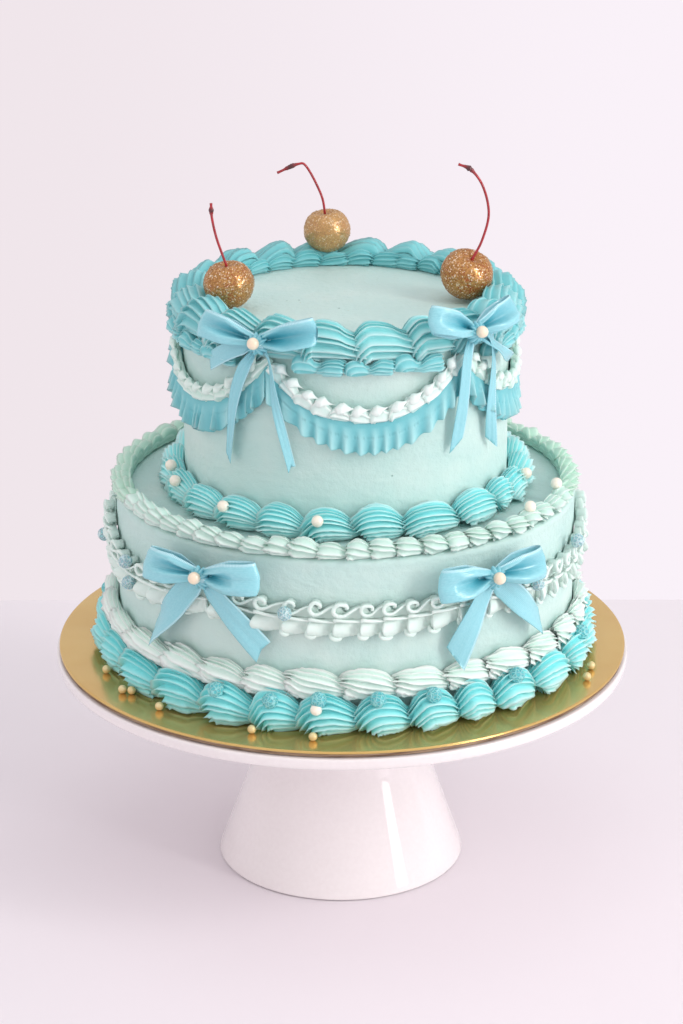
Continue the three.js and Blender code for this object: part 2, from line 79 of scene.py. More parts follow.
def mesh_piece(name, grids, materials, marks=None, mapped=False, picks=None, round_v=True, caps=True):
    """One mesh object from grids of points in millimetres, each rows x columns x 3. Rows run along a
    form and columns round it. A round grid joins its last column to its first, and its two ends are
    closed by a fan round their middle point. marks are one number a point, kept as 'crest'."""
    points, faces, crest, maps, chosen, base = [], [], [], [], [], 0
    for k, grid in enumerate(grids):
        rows, columns = grid.shape[:2]
        index = base + np.arange(rows * columns).reshape(rows, columns)
        right = np.roll(index, -1, 1) if round_v else index[:, 1:]
        left = index if round_v else index[:, :-1]
        quads = np.stack([left[:-1], right[:-1], right[1:], left[1:]], -1).reshape(-1, 4)
        faces.append(quads)
        points.append(grid.reshape(-1, 3))
        mark = np.zeros((rows, columns)) if marks is None else marks[k]
        crest.append(np.broadcast_to(mark, (rows, columns)).ravel())
        v, u = np.meshgrid(np.linspace(0, 1, columns), np.linspace(0, 1, rows))
        maps.append(np.stack([u, v], -1).reshape(-1, 2))
        chosen.append(np.full(len(quads), 0 if picks is None else picks[k]))
        base += rows * columns
        if round_v and caps:
            for row, way in ((0, 1), (rows - 1, -1)):
                points.append(grid[row].mean(0)[None])
                crest.append(np.full(1, crest[-1].mean()))
                maps.append(np.array([[row / (rows - 1), 0.5]]))
                ring = index[row][::way]
                fan = np.stack([np.roll(ring, -1), ring, np.full(columns, base), np.full(columns, base)], -1)
                faces.append(fan)
                chosen.append(np.full(columns, 0 if picks is None else picks[k]))
                base += 1
    points = np.concatenate(points) * MM
    faces = np.concatenate(faces)
    chosen = np.concatenate(chosen)
    sizes = np.where(faces[:, 2] == faces[:, 3], 3, 4)
    keep = np.ones(faces.shape, bool)
    keep[:, 3] = sizes == 4
    mesh = bpy.data.meshes.new(name)
    mesh.vertices.add(len(points))
    mesh.vertices.foreach_set("co", points.astype(np.float32).ravel())
    corners = faces[keep]
    mesh.loops.add(len(corners))
    mesh.loops.foreach_set("vertex_index", corners.astype(np.int32))
    mesh.polygons.add(len(faces))
    starts = np.concatenate([[0], np.cumsum(sizes)[:-1]])
    mesh.polygons.foreach_set("loop_start", starts.astype(np.int32))
    mesh.polygons.foreach_set("loop_total", sizes.astype(np.int32))
    mesh.polygons.foreach_set("material_index", chosen.astype(np.int32))
    mesh.polygons.foreach_set("use_smooth", np.ones(len(faces), bool))
    mesh.update(calc_edges=True)
    layer = mesh.attributes.new("crest", "FLOAT", "POINT")
    layer.data.foreach_set("value", np.concatenate(crest).astype(np.float32))
    if mapped:
        flat = np.concatenate(maps)
        mesh.uv_layers.new(name="UVMap").data.foreach_set("uv", flat[corners].astype(np.float32).ravel())
    for material in materials:
        mesh.materials.append(material)
    mesh.validate()
    piece = bpy.data.objects.new(name, mesh)
    bpy.context.scene.collection.objects.link(piece)
    return piece


def face_out(piece):
    """Turns every closed form of a piece so that its faces point outwards."""
    work = bmesh.new()
    work.from_mesh(piece.data)
    bmesh.ops.recalc_face_normals(work, faces=work.faces)
    work.to_mesh(piece.data)
    work.free()


def ride_as(piece, slot, *nodes):
    """The piece stands for the named solids and rides on the whole cake. The slot is not used."""
    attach(piece, "root")
    if nodes:
        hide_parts(*nodes)


def linear(code):
    """Turns an sRGB hex colour into a linear one: c / 12.92 below 0.04045, else ((c + 0.055) / 1.055)^2.4."""
    parts = [int(code[i:i + 2], 16) / 255 for i in (1, 3, 5)]
    return tuple(c / 12.92 if c <= 0.04045 else ((c + 0.055) / 1.055) ** 2.4 for c in parts) + (1.0,)


def add(material, kind, sockets=None, **settings):
    """Adds a node to a material, sets its settings, and fills its sockets by number, colour or link."""
    tree = material.node_tree
    node = tree.nodes.new(kind)
    for key, value in settings.items():
        setattr(node, key, value)
    for key, value in (sockets or {}).items():
        if isinstance(value, bpy.types.NodeSocket):
            tree.links.new(value, node.inputs[key])
        else:
            node.inputs[key].default_value = value
    return node


def new_material(name):
    """An empty node material with its shader joined to its output."""
    material = bpy.data.materials.new(name)
    material.use_nodes = True
    material.node_tree.nodes.clear()
    shader = add(material, "ShaderNodeBsdfPrincipled")
    add(material, "ShaderNodeOutputMaterial", {"Surface": shader.outputs[0]})
    return material, shader


def give(material, shader, sockets):
    """Fills the shader's sockets by number, colour or link."""
    for key, value in sockets.items():
        if isinstance(value, bpy.types.NodeSocket):
            material.node_tree.links.new(value, shader.inputs[key])
        else:
            shader.inputs[key].default_value = value


import bmesh

# Glaze: glass fused on clay, so it is smooth and hard, and only its slow waves bend the reflections.
glazed, shader = new_material("glazed_stoneware")
place = add(glazed, "ShaderNodeTexCoord").outputs["Object"]
wave = add(glazed, "ShaderNodeTexNoise", {"Vector": place, "Scale": 26.0, "Detail": 1.0})
speck = add(glazed, "ShaderNodeTexNoise", {"Vector": place, "Scale": 420.0, "Detail": 2.0})
tone = add(glazed, "ShaderNodeMix", {"Factor": speck.outputs[0], 6: linear("#e9e2e2"), 7: linear("#f0eaea")},
           data_type="RGBA")
relief = add(glazed, "ShaderNodeBump", {"Height": wave.outputs[0], "Strength": 0.35, "Distance": 0.0006})
give(glazed, shader, {"Base Color": tone.outputs[2], "Roughness": 0.1, "IOR": 1.55,
                      "Coat Weight": 1.0, "Coat Roughness": 0.03, "Normal": relief.outputs[0]})

# The foot's radius is neck + b ln(1 + e^((foot - neck - slope z) / b)): a cone that turns into the neck.
flare = np.linspace(0, FOOT_FLARE, 24)
cone = np.log1p(np.exp((FOOT_RADIUS - FOOT_NECK - FOOT_SLOPE * flare) / FOOT_BLEND))
foot_outside = np.stack([FOOT_NECK + FOOT_BLEND * cone, flare], -1)
foot_inside = foot_outside[::-1] - [FOOT_WALL, 0]
under = PLATE_TOP - PLATE_THICKNESS
hollow = rounded([[0.5, under - 1], [FOOT_NECK - FOOT_WALL, under - 1], [FOOT_NECK - FOOT_WALL, FOOT_FLARE]],
                 [0, 5, 0])
foot_rim = rounded([foot_inside[-1], [FOOT_RADIUS - 0.2, 0.0], foot_outside[1]], [0, 1.2, 0])
plate_edge = rounded([[FOOT_NECK, FOOT_FLARE], [FOOT_NECK + 1, under - 0.5], [PLATE_RADIUS - 14, under + 0.2],
                      [PLATE_RADIUS, under + 0.9], [PLATE_RADIUS, PLATE_TOP],
                      [PLATE_RADIUS - 8, PLATE_TOP - 0.1], [0.5, PLATE_TOP - 0.1]],
                     [0, 7, 6, 2.0, 1.4, 2, 0])
whole = turned(np.concatenate([hollow, foot_inside[1:-1], foot_rim, foot_outside[2:-1], plate_edge]))
whole[..., 0] -= FOOT_OFF * np.clip(1 - whole[..., 2] / FOOT_FLARE, 0, 1)
stand = mesh_piece("glazed_stand", [whole], [glazed])
face_out(stand)
ride_as(stand, "glazed_ceramic", "stand")

# Cake board: a round of grey-brown card with gold foil on top that is rolled a little over the edge.
# The foil is a mirror under a thin gold lacquer, so it takes the colours of what stands on it and adds
# its own. The cut card is dull.
BOARD_RADIUS = 155.2
BOARD_BOTTOM = 126.4
BOARD_TOP = 129.6
foil, shader = new_material("gold_foil_card")
place = add(foil, "ShaderNodeTexCoord").outputs["Object"]
# The foil shows the fibres of the card, about 0.8 mm apart, and slow dents some 30 mm across.
fibre = add(foil, "ShaderNodeTexNoise", {"Vector": place, "Scale": 1200.0, "Detail": 3.0, "Roughness": 0.7})
dent = add(foil, "ShaderNodeTexNoise", {"Vector": place, "Scale": 30.0, "Detail": 2.0})
tone = add(foil, "ShaderNodeMix", {"Factor": dent.outputs[0], 6: linear("#d8af66"), 7: linear("#e8c680")},
           data_type="RGBA")
rough = add(foil, "ShaderNodeMapRange", {0: fibre.outputs[0], 3: 0.12, 4: 0.26})
fine = add(foil, "ShaderNodeBump", {"Height": fibre.outputs[0], "Strength": 0.1, "Distance": 0.0002})
relief = add(foil, "ShaderNodeBump", {"Height": dent.outputs[0], "Strength": 0.5, "Distance": 0.0008,
                                      "Normal": fine.outputs[0]})
give(foil, shader, {"Base Color": tone.outputs[2], "Metallic": 0.72, "Roughness": rough.outputs[0],
                    "Normal": relief.outputs[0]})

card, shader = new_material("cut_grey_card")
place = add(card, "ShaderNodeTexCoord").outputs["Object"]
layers = add(card, "ShaderNodeMapping", {"Vector": place, "Scale": (60.0, 60.0, 1500.0)})
ply = add(card, "ShaderNodeTexNoise", {"Vector": layers.outputs[0], "Scale": 1.0, "Detail": 4.0})
tone = add(card, "ShaderNodeValToRGB", {"Fac": ply.outputs[0]})
tone.color_ramp.elements[0].position, tone.color_ramp.elements[0].color = 0.35, linear("#6f5440")
tone.color_ramp.elements[1].position, tone.color_ramp.elements[1].color = 0.68, linear("#b09880")
relief = add(card, "ShaderNodeBump", {"Height": ply.outputs[0], "Strength": 0.6, "Distance": 0.0004})
give(card, shader, {"Base Color": tone.outputs[0], "Roughness": 0.85, "Normal": relief.outputs[0]})

rolled = rounded([[0.5, BOARD_TOP], [BOARD_RADIUS - 2.2, BOARD_TOP], [BOARD_RADIUS, BOARD_TOP],
                  [BOARD_RADIUS, BOARD_TOP - 1.2]], [0, 0.6, 1.0, 0])
cut_edge = np.array([[BOARD_RADIUS, BOARD_TOP - 1.2], [BOARD_RADIUS - 0.5, BOARD_TOP - 1.5],
                     [BOARD_RADIUS - 0.4, BOARD_BOTTOM + 0.4], [BOARD_RADIUS - 0.9, BOARD_BOTTOM],
                     [0.5, BOARD_BOTTOM]])
top, side = turned(rolled, 200), turned(cut_edge, 200)
board = mesh_piece("foil_board", [top, side], [foil, card], picks=[0, 1])
work = bmesh.new()
work.from_mesh(board.data)
bmesh.ops.remove_doubles(work, verts=work.verts, dist=1e-6)
work.to_mesh(board.data)
work.free()
face_out(board)
ride_as(board, "gold_foil", "board")

# Lower tier: sponge under a smoothed coat of pale aqua buttercream. The scraper leaves faint level
# smears and soft colour bands, and the cream has pinholes, small dents and a few dark specks.
CAKE_X = 2.0
LOWER_RADIUS = 124.0
LOWER_BOTTOM = 130.0
LOWER_TOP = 219.5


def wander(seed, count, u, v=0.0):
    """Smooth noise as a sum of sines: sum of a_i sin(f_i u + g_i v + p_i), with sizes that add to 1."""
    rng = np.random.default_rng(seed)
    total = 0.0
    for i in range(count):
        f, g, p = rng.uniform(-1, 1), rng.uniform(-1, 1), rng.uniform(0, 2 * np.pi)
        total = total + np.sin((i + 1.5) * (f * u + g * v) + p) / count
    return total


def at(angle, radius, height):
    """A point of the cake: angle in degrees from its front towards +X, distance from its axis, height."""
    turn = np.radians(angle)
    return np.stack(np.broadcast_arrays(CAKE_X + radius * np.sin(turn), -radius * np.cos(turn), height), -1)


def coated_tier(radius, bottom, top, seed):
    """The coat of a tier: an outline with a soft edge, turned, and moved out and in by slow noise
    of up to 0.5 mm, as a scraper leaves it."""
    outline = rounded([[0.5, bottom], [radius, bottom], [radius, top], [0.5, top]], [0, 0.4, 4.5, 0], 9)
    wall = np.linspace(bottom + 1, top - 5, 24)
    flat = np.linspace(radius - 6, 0.5, 30)
    outline = np.concatenate([outline[:9], np.stack([np.full(24, radius), wall], -1), outline[10:-1],
                              np.stack([flat, np.full(30, top)], -1)])
    outline = outline[np.concatenate([[True], np.hypot(*np.diff(outline, axis=0).T) > 0.05])]
    turn = np.linspace(0, 2 * np.pi, 192, endpoint=False)
    r, z = outline[:, :1], outline[:, 1:]
    out = 0.3 * wander(seed, 7, 3 * np.sin(turn) + 0.02 * z, 3 * np.cos(turn) + 0.05 * r)
    scrape = 0.12 * wander(seed + 1, 9, z * 0.5, 2 * np.sin(turn))
    side = np.clip((z - bottom) / 6, 0, 1) * np.clip((top - 1 - z) / 4, 0, 1)
    rise = np.clip((z - top + 1.5) / 1.5, 0, 1)
    r2 = r + (out + scrape) * side - 0.5 * side
    z2 = z - rise * (0.3 + 0.35 * wander(seed + 2, 7, r / 22 * np.sin(turn), r / 22 * np.cos(turn)))
    return at(np.degrees(turn), r2, z2 + 0 * turn)


def buttercream(name, pale, deep, warm):
    """Soft fat and sugar cream: light goes a few millimetres in, the skin is satin, and the scraper
    leaves bands of tone. Pinholes are about 0.7 mm wide, the grain some 0.5 mm."""
    material, shader = new_material(name)
    place = add(material, "ShaderNodeTexCoord").outputs["Object"]
    smear_at = add(material, "ShaderNodeMapping", {"Vector": place, "Scale": (9.0, 9.0, 34.0)})
    smear = add(material, "ShaderNodeTexNoise", {"Vector": smear_at.outputs[0], "Scale": 1.0, "Detail": 4.0,
                                                 "Roughness": 0.55, "Distortion": 0.8})
    cloud = add(material, "ShaderNodeTexNoise", {"Vector": place, "Scale": 22.0, "Detail": 3.0})
    grain = add(material, "ShaderNodeTexNoise", {"Vector": place, "Scale": 1500.0, "Detail": 2.0})
    dents = add(material, "ShaderNodeTexNoise", {"Vector": place, "Scale": 260.0, "Detail": 3.0})
    holes = add(material, "ShaderNodeTexVoronoi", {"Vector": place, "Scale": 75.0, "Randomness": 1.0})
    hole = add(material, "ShaderNodeMapRange", {0: holes.outputs[0], 1: 0.02, 2: 0.055, 3: 1.0, 4: 0.0})
    rare = add(material, "ShaderNodeMath", {0: holes.outputs[1], 1: 0.66}, operation="GREATER_THAN")
    pin = add(material, "ShaderNodeMath", {0: hole.outputs[0], 1: rare.outputs[0]}, operation="MULTIPLY")
    flecks = add(material, "ShaderNodeTexVoronoi", {"Vector": place, "Scale": 48.0})
    fleck = add(material, "ShaderNodeMapRange", {0: flecks.outputs[0], 1: 0.015, 2: 0.035, 3: 1.0, 4: 0.0})
    seldom = add(material, "ShaderNodeMath", {0: flecks.outputs[1], 1: 0.88}, operation="GREATER_THAN")
    dot = add(material, "ShaderNodeMath", {0: fleck.outputs[0], 1: seldom.outputs[0]}, operation="MULTIPLY")
    bands = add(material, "ShaderNodeMix", {"Factor": smear.outputs[0], 6: linear(deep), 7: linear(pale)},
                data_type="RGBA")
    patch = add(material, "ShaderNodeMapRange", {0: cloud.outputs[0], 1: 0.5, 2: 0.75, 3: 0.0, 4: 0.55})
    blotch = add(material, "ShaderNodeMix", {"Factor": patch.outputs[0], 6: bands.outputs[2], 7: linear(warm)},
                 data_type="RGBA")
    # Painted shade: the pinholes are tinted darker as well as sunk.
    shade = add(material, "ShaderNodeMix", {"Factor": pin.outputs[0], 6: blotch.outputs[2],
                                            7: linear("#8fb4b0")}, data_type="RGBA")
    spot = add(material, "ShaderNodeMix", {"Factor": dot.outputs[0], 6: shade.outputs[2],
                                           7: linear("#8a8468")}, data_type="RGBA")
    # Crumbs of the cherries' gold glitter, some 0.6 mm wide, lie on the top of the upper tier only.
    parts = add(material, "ShaderNodeSeparateXYZ", {0: place})
    on_top = add(material, "ShaderNodeMath", {0: parts.outputs[2], 1: 0.3175}, operation="GREATER_THAN")
    crumbs = add(material, "ShaderNodeTexVoronoi", {"Vector": place, "Scale": 190.0})
    crumb = add(material, "ShaderNodeMapRange", {0: crumbs.outputs[0], 1: 0.05, 2: 0.09, 3: 0.75, 4: 0.0})
    few = add(material, "ShaderNodeMath", {0: crumbs.outputs[1], 1: 0.8}, operation="GREATER_THAN")
    few = add(material, "ShaderNodeMath", {0: few.outputs[0], 1: on_top.outputs[0]}, operation="MULTIPLY")
    crumb = add(material, "ShaderNodeMath", {0: crumb.outputs[0], 1: few.outputs[0]}, operation="MULTIPLY")
    spot = add(material, "ShaderNodeMix", {"Factor": crumb.outputs[0], 6: spot.outputs[2],
                                           7: linear("#b48c60")}, data_type="RGBA")
    sink = add(material, "ShaderNodeMath", {0: grain.outputs[0], 1: 0.25, 2: 0.0}, operation="MULTIPLY_ADD")
    depth = add(material, "ShaderNodeMath", {0: pin.outputs[0], 1: -1.2, 2: sink.outputs[0]},
                operation="MULTIPLY_ADD")
    high = add(material, "ShaderNodeMath", {0: dents.outputs[0], 1: 0.9, 2: depth.outputs[0]},
               operation="MULTIPLY_ADD")
    fine = add(material, "ShaderNodeBump", {"Height": high.outputs[0], "Strength": 1.0, "Distance": 0.0007})
    relief = add(material, "ShaderNodeBump", {"Height": smear.outputs[0], "Strength": 0.6,
                                              "Distance": 0.0024, "Normal": fine.outputs[0]})
    give(material, shader, {"Base Color": spot.outputs[2], "Roughness": 0.58, "IOR": 1.45,
                            "Subsurface Weight": 0.25, "Subsurface Radius": (1.0, 0.9, 0.8),
                            "Subsurface Scale": 0.004, "Normal": relief.outputs[0]})
    return material


coat = buttercream("aqua_buttercream_coat", "#d0e5df", "#b0d5d0", "#dae8e2")
lower_tier = mesh_piece("lower_tier_coat", [coated_tier(LOWER_RADIUS, LOWER_BOTTOM, LOWER_TOP, 5)], [coat])
face_out(lower_tier)
ride_as(lower_tier, "buttercream", "lower_tier")

# Foot of the lower tier: teal buttercream pressed from a large star tip into shells, each with a fat
# head on the left that wells up, rolls over and is pulled down to a thin tail under the next head.
LOWER_BASE = {"wall": 124.4, "floor": 129.7, "height": 20.6, "depth": (12.0, 3.6)}
LOWER_JOINTS = [-61.2, -46.7, -33.3, -21.2, -9.9, 2.5, 14.3, 25.5, 35.6, 47.9, 62.2]


def ring_joints(seen, pitch):
    """The angles of all joints of a ring: those that show, and even ones of about the pitch between
    the last of them and the first, round the back."""
    rest = 360 - (seen[-1] - seen[0])
    count = max(2, round(rest / pitch))
    return np.array(list(seen) + [seen[-1] + rest * i / count for i in range(1, count)])


def smooth_line(knots, count):
    """A smooth line through knots: a Catmull-Rom spline at even steps of its parameter."""
    knots = np.asarray(knots, float)
    padded = np.concatenate([2 * knots[:1] - knots[1:2], knots, 2 * knots[-1:] - knots[-2:-1]])
    s = np.linspace(0, len(knots) - 1 - 1e-9, count)
    i = s.astype(int)
    f = (s - i)[:, None]
    a, b, c, d = padded[i], padded[i + 1], padded[i + 2], padded[i + 3]
    return 0.5 * (2 * b + (c - a) * f + (2 * a - 5 * b + 4 * c - d) * f ** 2 + (3 * b - a - 3 * c + d) * f ** 3)


def star_shell(length, height, depth, bands, seed, cut=0.15, pivot=0.45, rows=26, twist=0.0, teeth=0.0,
               reach=1.22, low=0.0, lean=0.0, tail=(0.27, 0.13), fan=0.0, end=0.25, fine=6, crown=0.0):
    """One pressed shell in its own frame: x along to the tail, y up, d out, in millimetres.
    An outer line runs up round the head and down to the tail, and an inner line from a pivot on the
    floor to the tail; with fan = 1 both start on a blunt nose at the left instead, and crown = 1 keeps
    the outer line high up to the tail. The section between
    them is an ellipse: the point at the angle a lies at middle + (outer - inner) / 2 cos a, and at
    d = swell (0.44 + 0.56 sin a), all grown by 1 + cut (ridge - 0.4). ridge = 1 - |sin(pi p)|^0.9
    between two teeth of the star tip, so the crests are thin and the valleys round. Where a ridge
    starts it sticks out to the left by its tooth. No point lies under y = low or d = 0."""
    rng = np.random.default_rng(seed)
    jog = rng.uniform(-0.035, 0.035, (10, 2))
    welled = np.array([[0.05, -0.05], [-0.01, 0.2], [0.02, 0.56], [0.18, 0.88]])
    fanned = np.array([[0.07, 0.68], [0.0, 0.78], [0.05, 0.9], [0.2, 0.98]])
    outer = np.concatenate([welled + (fanned - welled) * fan,
                            [[0.44 - 0.06 * crown, 1.0], [0.72 - 0.02 * crown, 0.87 + 0.07 * crown],
                             [0.97, 0.56 + 0.2 * crown], [reach, tail[0]]]])
    outer[1:7] += jog[1:7] * [0.6, 1.0]
    welled = np.array([[pivot, -0.05], [pivot, -0.01], [pivot + 0.01, 0.02], [pivot + 0.04, 0.03]])
    fanned = np.array([[0.07, 0.24], [0.0, 0.12], [0.04, 0.02], [0.18, -0.02]])
    inner = np.concatenate([welled + (fanned - welled) * fan,
                            [[pivot + 0.1, 0.03], [0.84, 0.04], [1.0, 0.06], [reach, tail[1]]]])
    inner[:, 0] = np.maximum.accumulate(inner[:, 0])
    outer = smooth_line(outer, rows) * [length, height]
    inner = smooth_line(inner, rows) * [length, height]
    s = np.linspace(0, 1, rows)
    swell = np.array([0.66 - 0.26 * fan, 0.88 - 0.16 * fan, 0.99 - 0.05 * fan, 1.0, 0.95, 0, 0, 0])
    swell[5:] = 0.95 + (end - 0.95) * np.array([0.2, 0.55, 1.0])
    swell = smooth_line(swell[:, None], rows) * depth * (1 + 0.8 * jog[8, 0])
    place = np.array([0, 0.1, 0.28, 0.5, 0.72, 0.9] if fine == 6 else [0, 0.14, 0.42, 0.7, 0.9])
    tooth = (np.arange(bands)[:, None] + place).ravel()[None, :]
    number = np.floor(tooth).astype(int)
    ridge = 1 - np.abs(np.sin(np.pi * tooth)) ** 0.9
    nearest = np.round(tooth).astype(int) % bands
    strength = rng.uniform(0.6, 1.35, bands)[nearest]
    slip = rng.uniform(-0.3, 0.3, bands)
    slip = slip[number] + (slip[(number + 1) % bands] - slip[number]) * (tooth - number)
    t = s[:, None]
    jag = 1 + 0.8 * teeth * wander(seed + 7, 8, 30 * t + 9 * nearest, 0 * tooth) * np.clip(1.3 - 1.5 * t, 0.25, 1)
    angle = 2 * np.pi / bands * (tooth + slip + 0.22 * ridge) - 0.6 * np.pi + twist * (0.35 - (1 - t) ** 2) + 0.3 * jog[9, 0]
    grown = 1 + cut * (ridge - 0.4) * strength * jag * (1 - 0.25 * t)
    grown = grown + 0.02 * wander(seed + 3, 6, 6 * t, 2 * angle)
    half, middle = (outer - inner) / 2, (outer + inner) / 2
    spike = teeth * strength * ridge ** 1.4 * np.exp(-((t - 0.15) / 0.11) ** 2)
    x = middle[:, :1] + half[:, :1] * np.cos(angle) * grown - 0.13 * length * spike * (0.4 + 0.6 * fan)
    y = middle[:, 1:] + half[:, 1:] * np.cos(angle) * grown - 0.05 * length * spike * (1 - fan)
    d = swell * (0.44 + 0.56 * np.sin(angle)) * grown + 0.05 * depth * spike + lean * y
    return np.stack([x, np.maximum(y, low), np.maximum(d, 0.0)], -1), ridge + 0 * x


def on_ring(form, joint, wall, floor, radius):
    """Sets a form on a ring: x goes round the cake at the given radius, y up from the floor, d out."""
    x, y, d = form[..., 0], form[..., 1], form[..., 2]
    return at(joint + np.degrees(x / radius), wall + d, floor + y)


def pressed_icing(name, deep, crest, rough=0.42, grain=1.0):
    """Stiff buttercream just out of a tip: smooth and slightly shiny, with painted shade in the grooves and a
    painted highlight on the thin ridges, and with drag lines and torn skin some 0.4 mm wide along them."""
    material, shader = new_material(name)
    place = add(material, "ShaderNodeTexCoord").outputs["Object"]
    mark = add(material, "ShaderNodeAttribute", attribute_name="crest")
    cloud = add(material, "ShaderNodeTexNoise", {"Vector": place, "Scale": 60.0, "Detail": 3.0})
    torn = add(material, "ShaderNodeTexNoise", {"Vector": place, "Scale": 900.0, "Detail": 3.0,
                                                "Roughness": 0.65})
    lumps = add(material, "ShaderNodeTexNoise", {"Vector": place, "Scale": 240.0, "Detail": 2.0})
    # Painted shade and painted highlight: the crest mark, with a little random cloud, sets the tone from deep in the
    # grooves to pale on the ridges.
    high = add(material, "ShaderNodeMath", {0: mark.outputs["Fac"], 1: 0.75, 2: 0.0},
               operation="MULTIPLY_ADD")
    mixed = add(material, "ShaderNodeMath", {0: cloud.outputs[0], 1: 0.25, 2: high.outputs[0]},
                operation="MULTIPLY_ADD")
    tone = add(material, "ShaderNodeMix", {"Factor": mixed.outputs[0], 6: linear(deep), 7: linear(crest)},
               data_type="RGBA")
    relief = add(material, "ShaderNodeBump", {"Height": torn.outputs[0], "Strength": 0.35 * grain,
                                              "Distance": 0.0003})
    relief = add(material, "ShaderNodeBump", {"Height": lumps.outputs[0], "Strength": 0.4 * grain,
                                              "Distance": 0.0006, "Normal": relief.outputs[0]})
    give(material, shader, {"Base Color": tone.outputs[2], "Roughness": rough, "IOR": 1.45,
                            "Subsurface Weight": 0.2, "Subsurface Radius": (0.8, 1.0, 1.0),
                            "Subsurface Scale": 0.0025, "Normal": relief.outputs[0]})
    return material


teal = pressed_icing("teal_pressed_icing", "#67dadd", "#d0fbf9")
joints = ring_joints(LOWER_JOINTS, 11.7)
gaps = np.diff(np.append(joints, joints[0] + 360))
rng = np.random.default_rng(17)
forms, marks = [], []
for k, joint in enumerate(joints):
    length = np.radians(gaps[k]) * 132
    side = math.sin(math.radians(joint))
    pivot = 0.58 - 0.18 * side + rng.uniform(-0.06, 0.06)
    depth = LOWER_BASE["depth"][0] + LOWER_BASE["depth"][1] * max(0, math.cos(math.radians(joint + 5)))
    form, mark = star_shell(length, LOWER_BASE["height"] * rng.uniform(0.94, 1.04), depth * rng.uniform(0.94, 1.0),
                            18, 100 + k, cut=0.33, pivot=pivot, twist=0.8 + 0.8 * side + rng.uniform(-0.3, 0.4),
                            teeth=0.9, fan=min(0.9, rng.uniform(0.0, 0.2) + 0.7 * side ** 2), tail=(0.34, 0.13))
    forms.append(on_ring(form, joint, LOWER_BASE["wall"], LOWER_BASE["floor"], 132))
    # Painted light and shade: shells on the right, towards the window, get paler crests and those on the left deeper
    # ones.
    marks.append(mark * (0.85 + 0.32 * side))
lower_base = mesh_piece("lower_base_teal_shells", forms, [teal], marks)
face_out(lower_base)
ride_as(lower_base, "teal_icing", "lower_base_shells")

# Collar over those shells: mint-white shells on the wall from a smaller star tip, their ridges
# fanning out from the tail on the right to jagged points at the head on the left.
COLLAR_JOINTS = [-60.7, -45.4, -34, -23, -12.4, 0.1, 12, 24.1, 35.4, 47.9]
mint = pressed_icing("mint_white_pressed_icing", "#cfece1", "#f9fefb", 0.45)
joints = ring_joints(COLLAR_JOINTS, 12)
gaps = np.diff(np.append(joints, joints[0] + 360))
forms, marks = [], []
for k, joint in enumerate(joints):
    form, mark = star_shell(np.radians(gaps[k]) * 127, 13.6 * rng.uniform(0.9, 1.05), 7.2, 12, 300 + k,
                            cut=0.5, pivot=rng.uniform(0.2, 0.45), rows=24, twist=rng.uniform(1.5, 2.3),
                            teeth=1.4, low=-0.6, fan=rng.uniform(0.75, 1.0), tail=(0.36, 0.1))
    forms.append(on_ring(form, joint, 124.2, 147.2, 127))
    marks.append(mark)
collar = mesh_piece("lower_collar_mint_shells", forms, [mint], marks)
face_out(collar)
ride_as(collar, "mint_icing", "lower_collar_shells")

# Rim of the lower tier: a row of small shells on the top edge, heads left and tails right, nearly white
# in front and mint green where the row goes round the sides.
green = pressed_icing("mint_green_icing", "#a6d3be", "#d6efe0", 0.4, 0.5)
rim_mint = pressed_icing("pale_mint_rim_icing", "#bbdfd2", "#e7f5ef", 0.45)
forms, marks, picks = [], [], []
for k in range(58):
    form, mark = star_shell(np.radians(360 / 58) * 120.5, 8.7 * rng.uniform(0.85, 1.12), 9.8, 8, 400 + k,
                            cut=0.3, pivot=rng.uniform(0.15, 0.5), rows=18, twist=rng.uniform(1.0, 2.2),
                            teeth=1.2, reach=1.6, tail=(0.5, 0.05), fan=rng.uniform(0.5, 1.0), end=0.4, crown=0.3)
    forms.append(on_ring(form, (k + rng.uniform(-0.08, 0.08)) * 360 / 58, 115.4, 219.3, 120.5))
    marks.append(mark)
    picks.append(int(math.cos(2 * math.pi * k / 58) < 0.35))
edge = mesh_piece("lower_edge_mint_shells", forms, [rim_mint, green], marks, picks=picks)
face_out(edge)
ride_as(edge, "mint_icing", "lower_edge_shells")

# Upper tier: the same aqua buttercream coat on a smaller cake.
UPPER_RADIUS = 87.0
UPPER_BOTTOM = 219.9
UPPER_TOP = 319.5
upper_tier = mesh_piece("upper_tier_coat", [coated_tier(UPPER_RADIUS, UPPER_BOTTOM, UPPER_TOP, 9)], [coat])
face_out(upper_tier)
ride_as(upper_tier, "buttercream", "upper_tier")

# Foot of the upper tier: large teal shells, a little shorter than those on the board.
UPPER_JOINTS = [-58.5, -43.2, -27, -13.3, 2.8, 18.5, 37.5, 55, 65]
joints = ring_joints(UPPER_JOINTS, 15)
gaps = np.diff(np.append(joints, joints[0] + 360))
forms, marks = [], []
for k, joint in enumerate(joints):
    pivot = 0.5 - 0.15 * math.sin(math.radians(joint)) + rng.uniform(-0.08, 0.08)
    form, mark = star_shell(np.radians(gaps[k]) * 96, 16.6 * rng.uniform(0.9, 1.03),
                            (12.0 + 2.6 * max(0, math.cos(math.radians(joint)))) * rng.uniform(0.93, 1.0), 19,
                            500 + k, cut=0.32, pivot=pivot,
                            twist=0.9 + 0.8 * math.sin(math.radians(joint)) + rng.uniform(-0.3, 0.4),
                            teeth=1.1, fan=rng.uniform(0.1, 0.6), tail=(0.36, 0.13), fine=5)
    forms.append(on_ring(form, joint, 87.4, 219.6, 96))
    marks.append(1.15 * mark)
upper_base = mesh_piece("upper_base_teal_shells", forms, [teal], marks)
face_out(upper_base)
ride_as(upper_base, "teal_icing", "upper_base_shells")

# Swags on the lower tier: white mint icing laid in three lines between the joints. The upper one is
# a rolled lip that curls round at each turn over a thin sheet, the middle one a thin overlapping
# string, and the lower one a row of puffed petals with a curled tip and a flat, torn skirt.
GARLAND_JOINTS = [(-33, 192.5), (33, 192.5), (90, 203), (150, 192.5), (210, 192.5), (270, 203)]


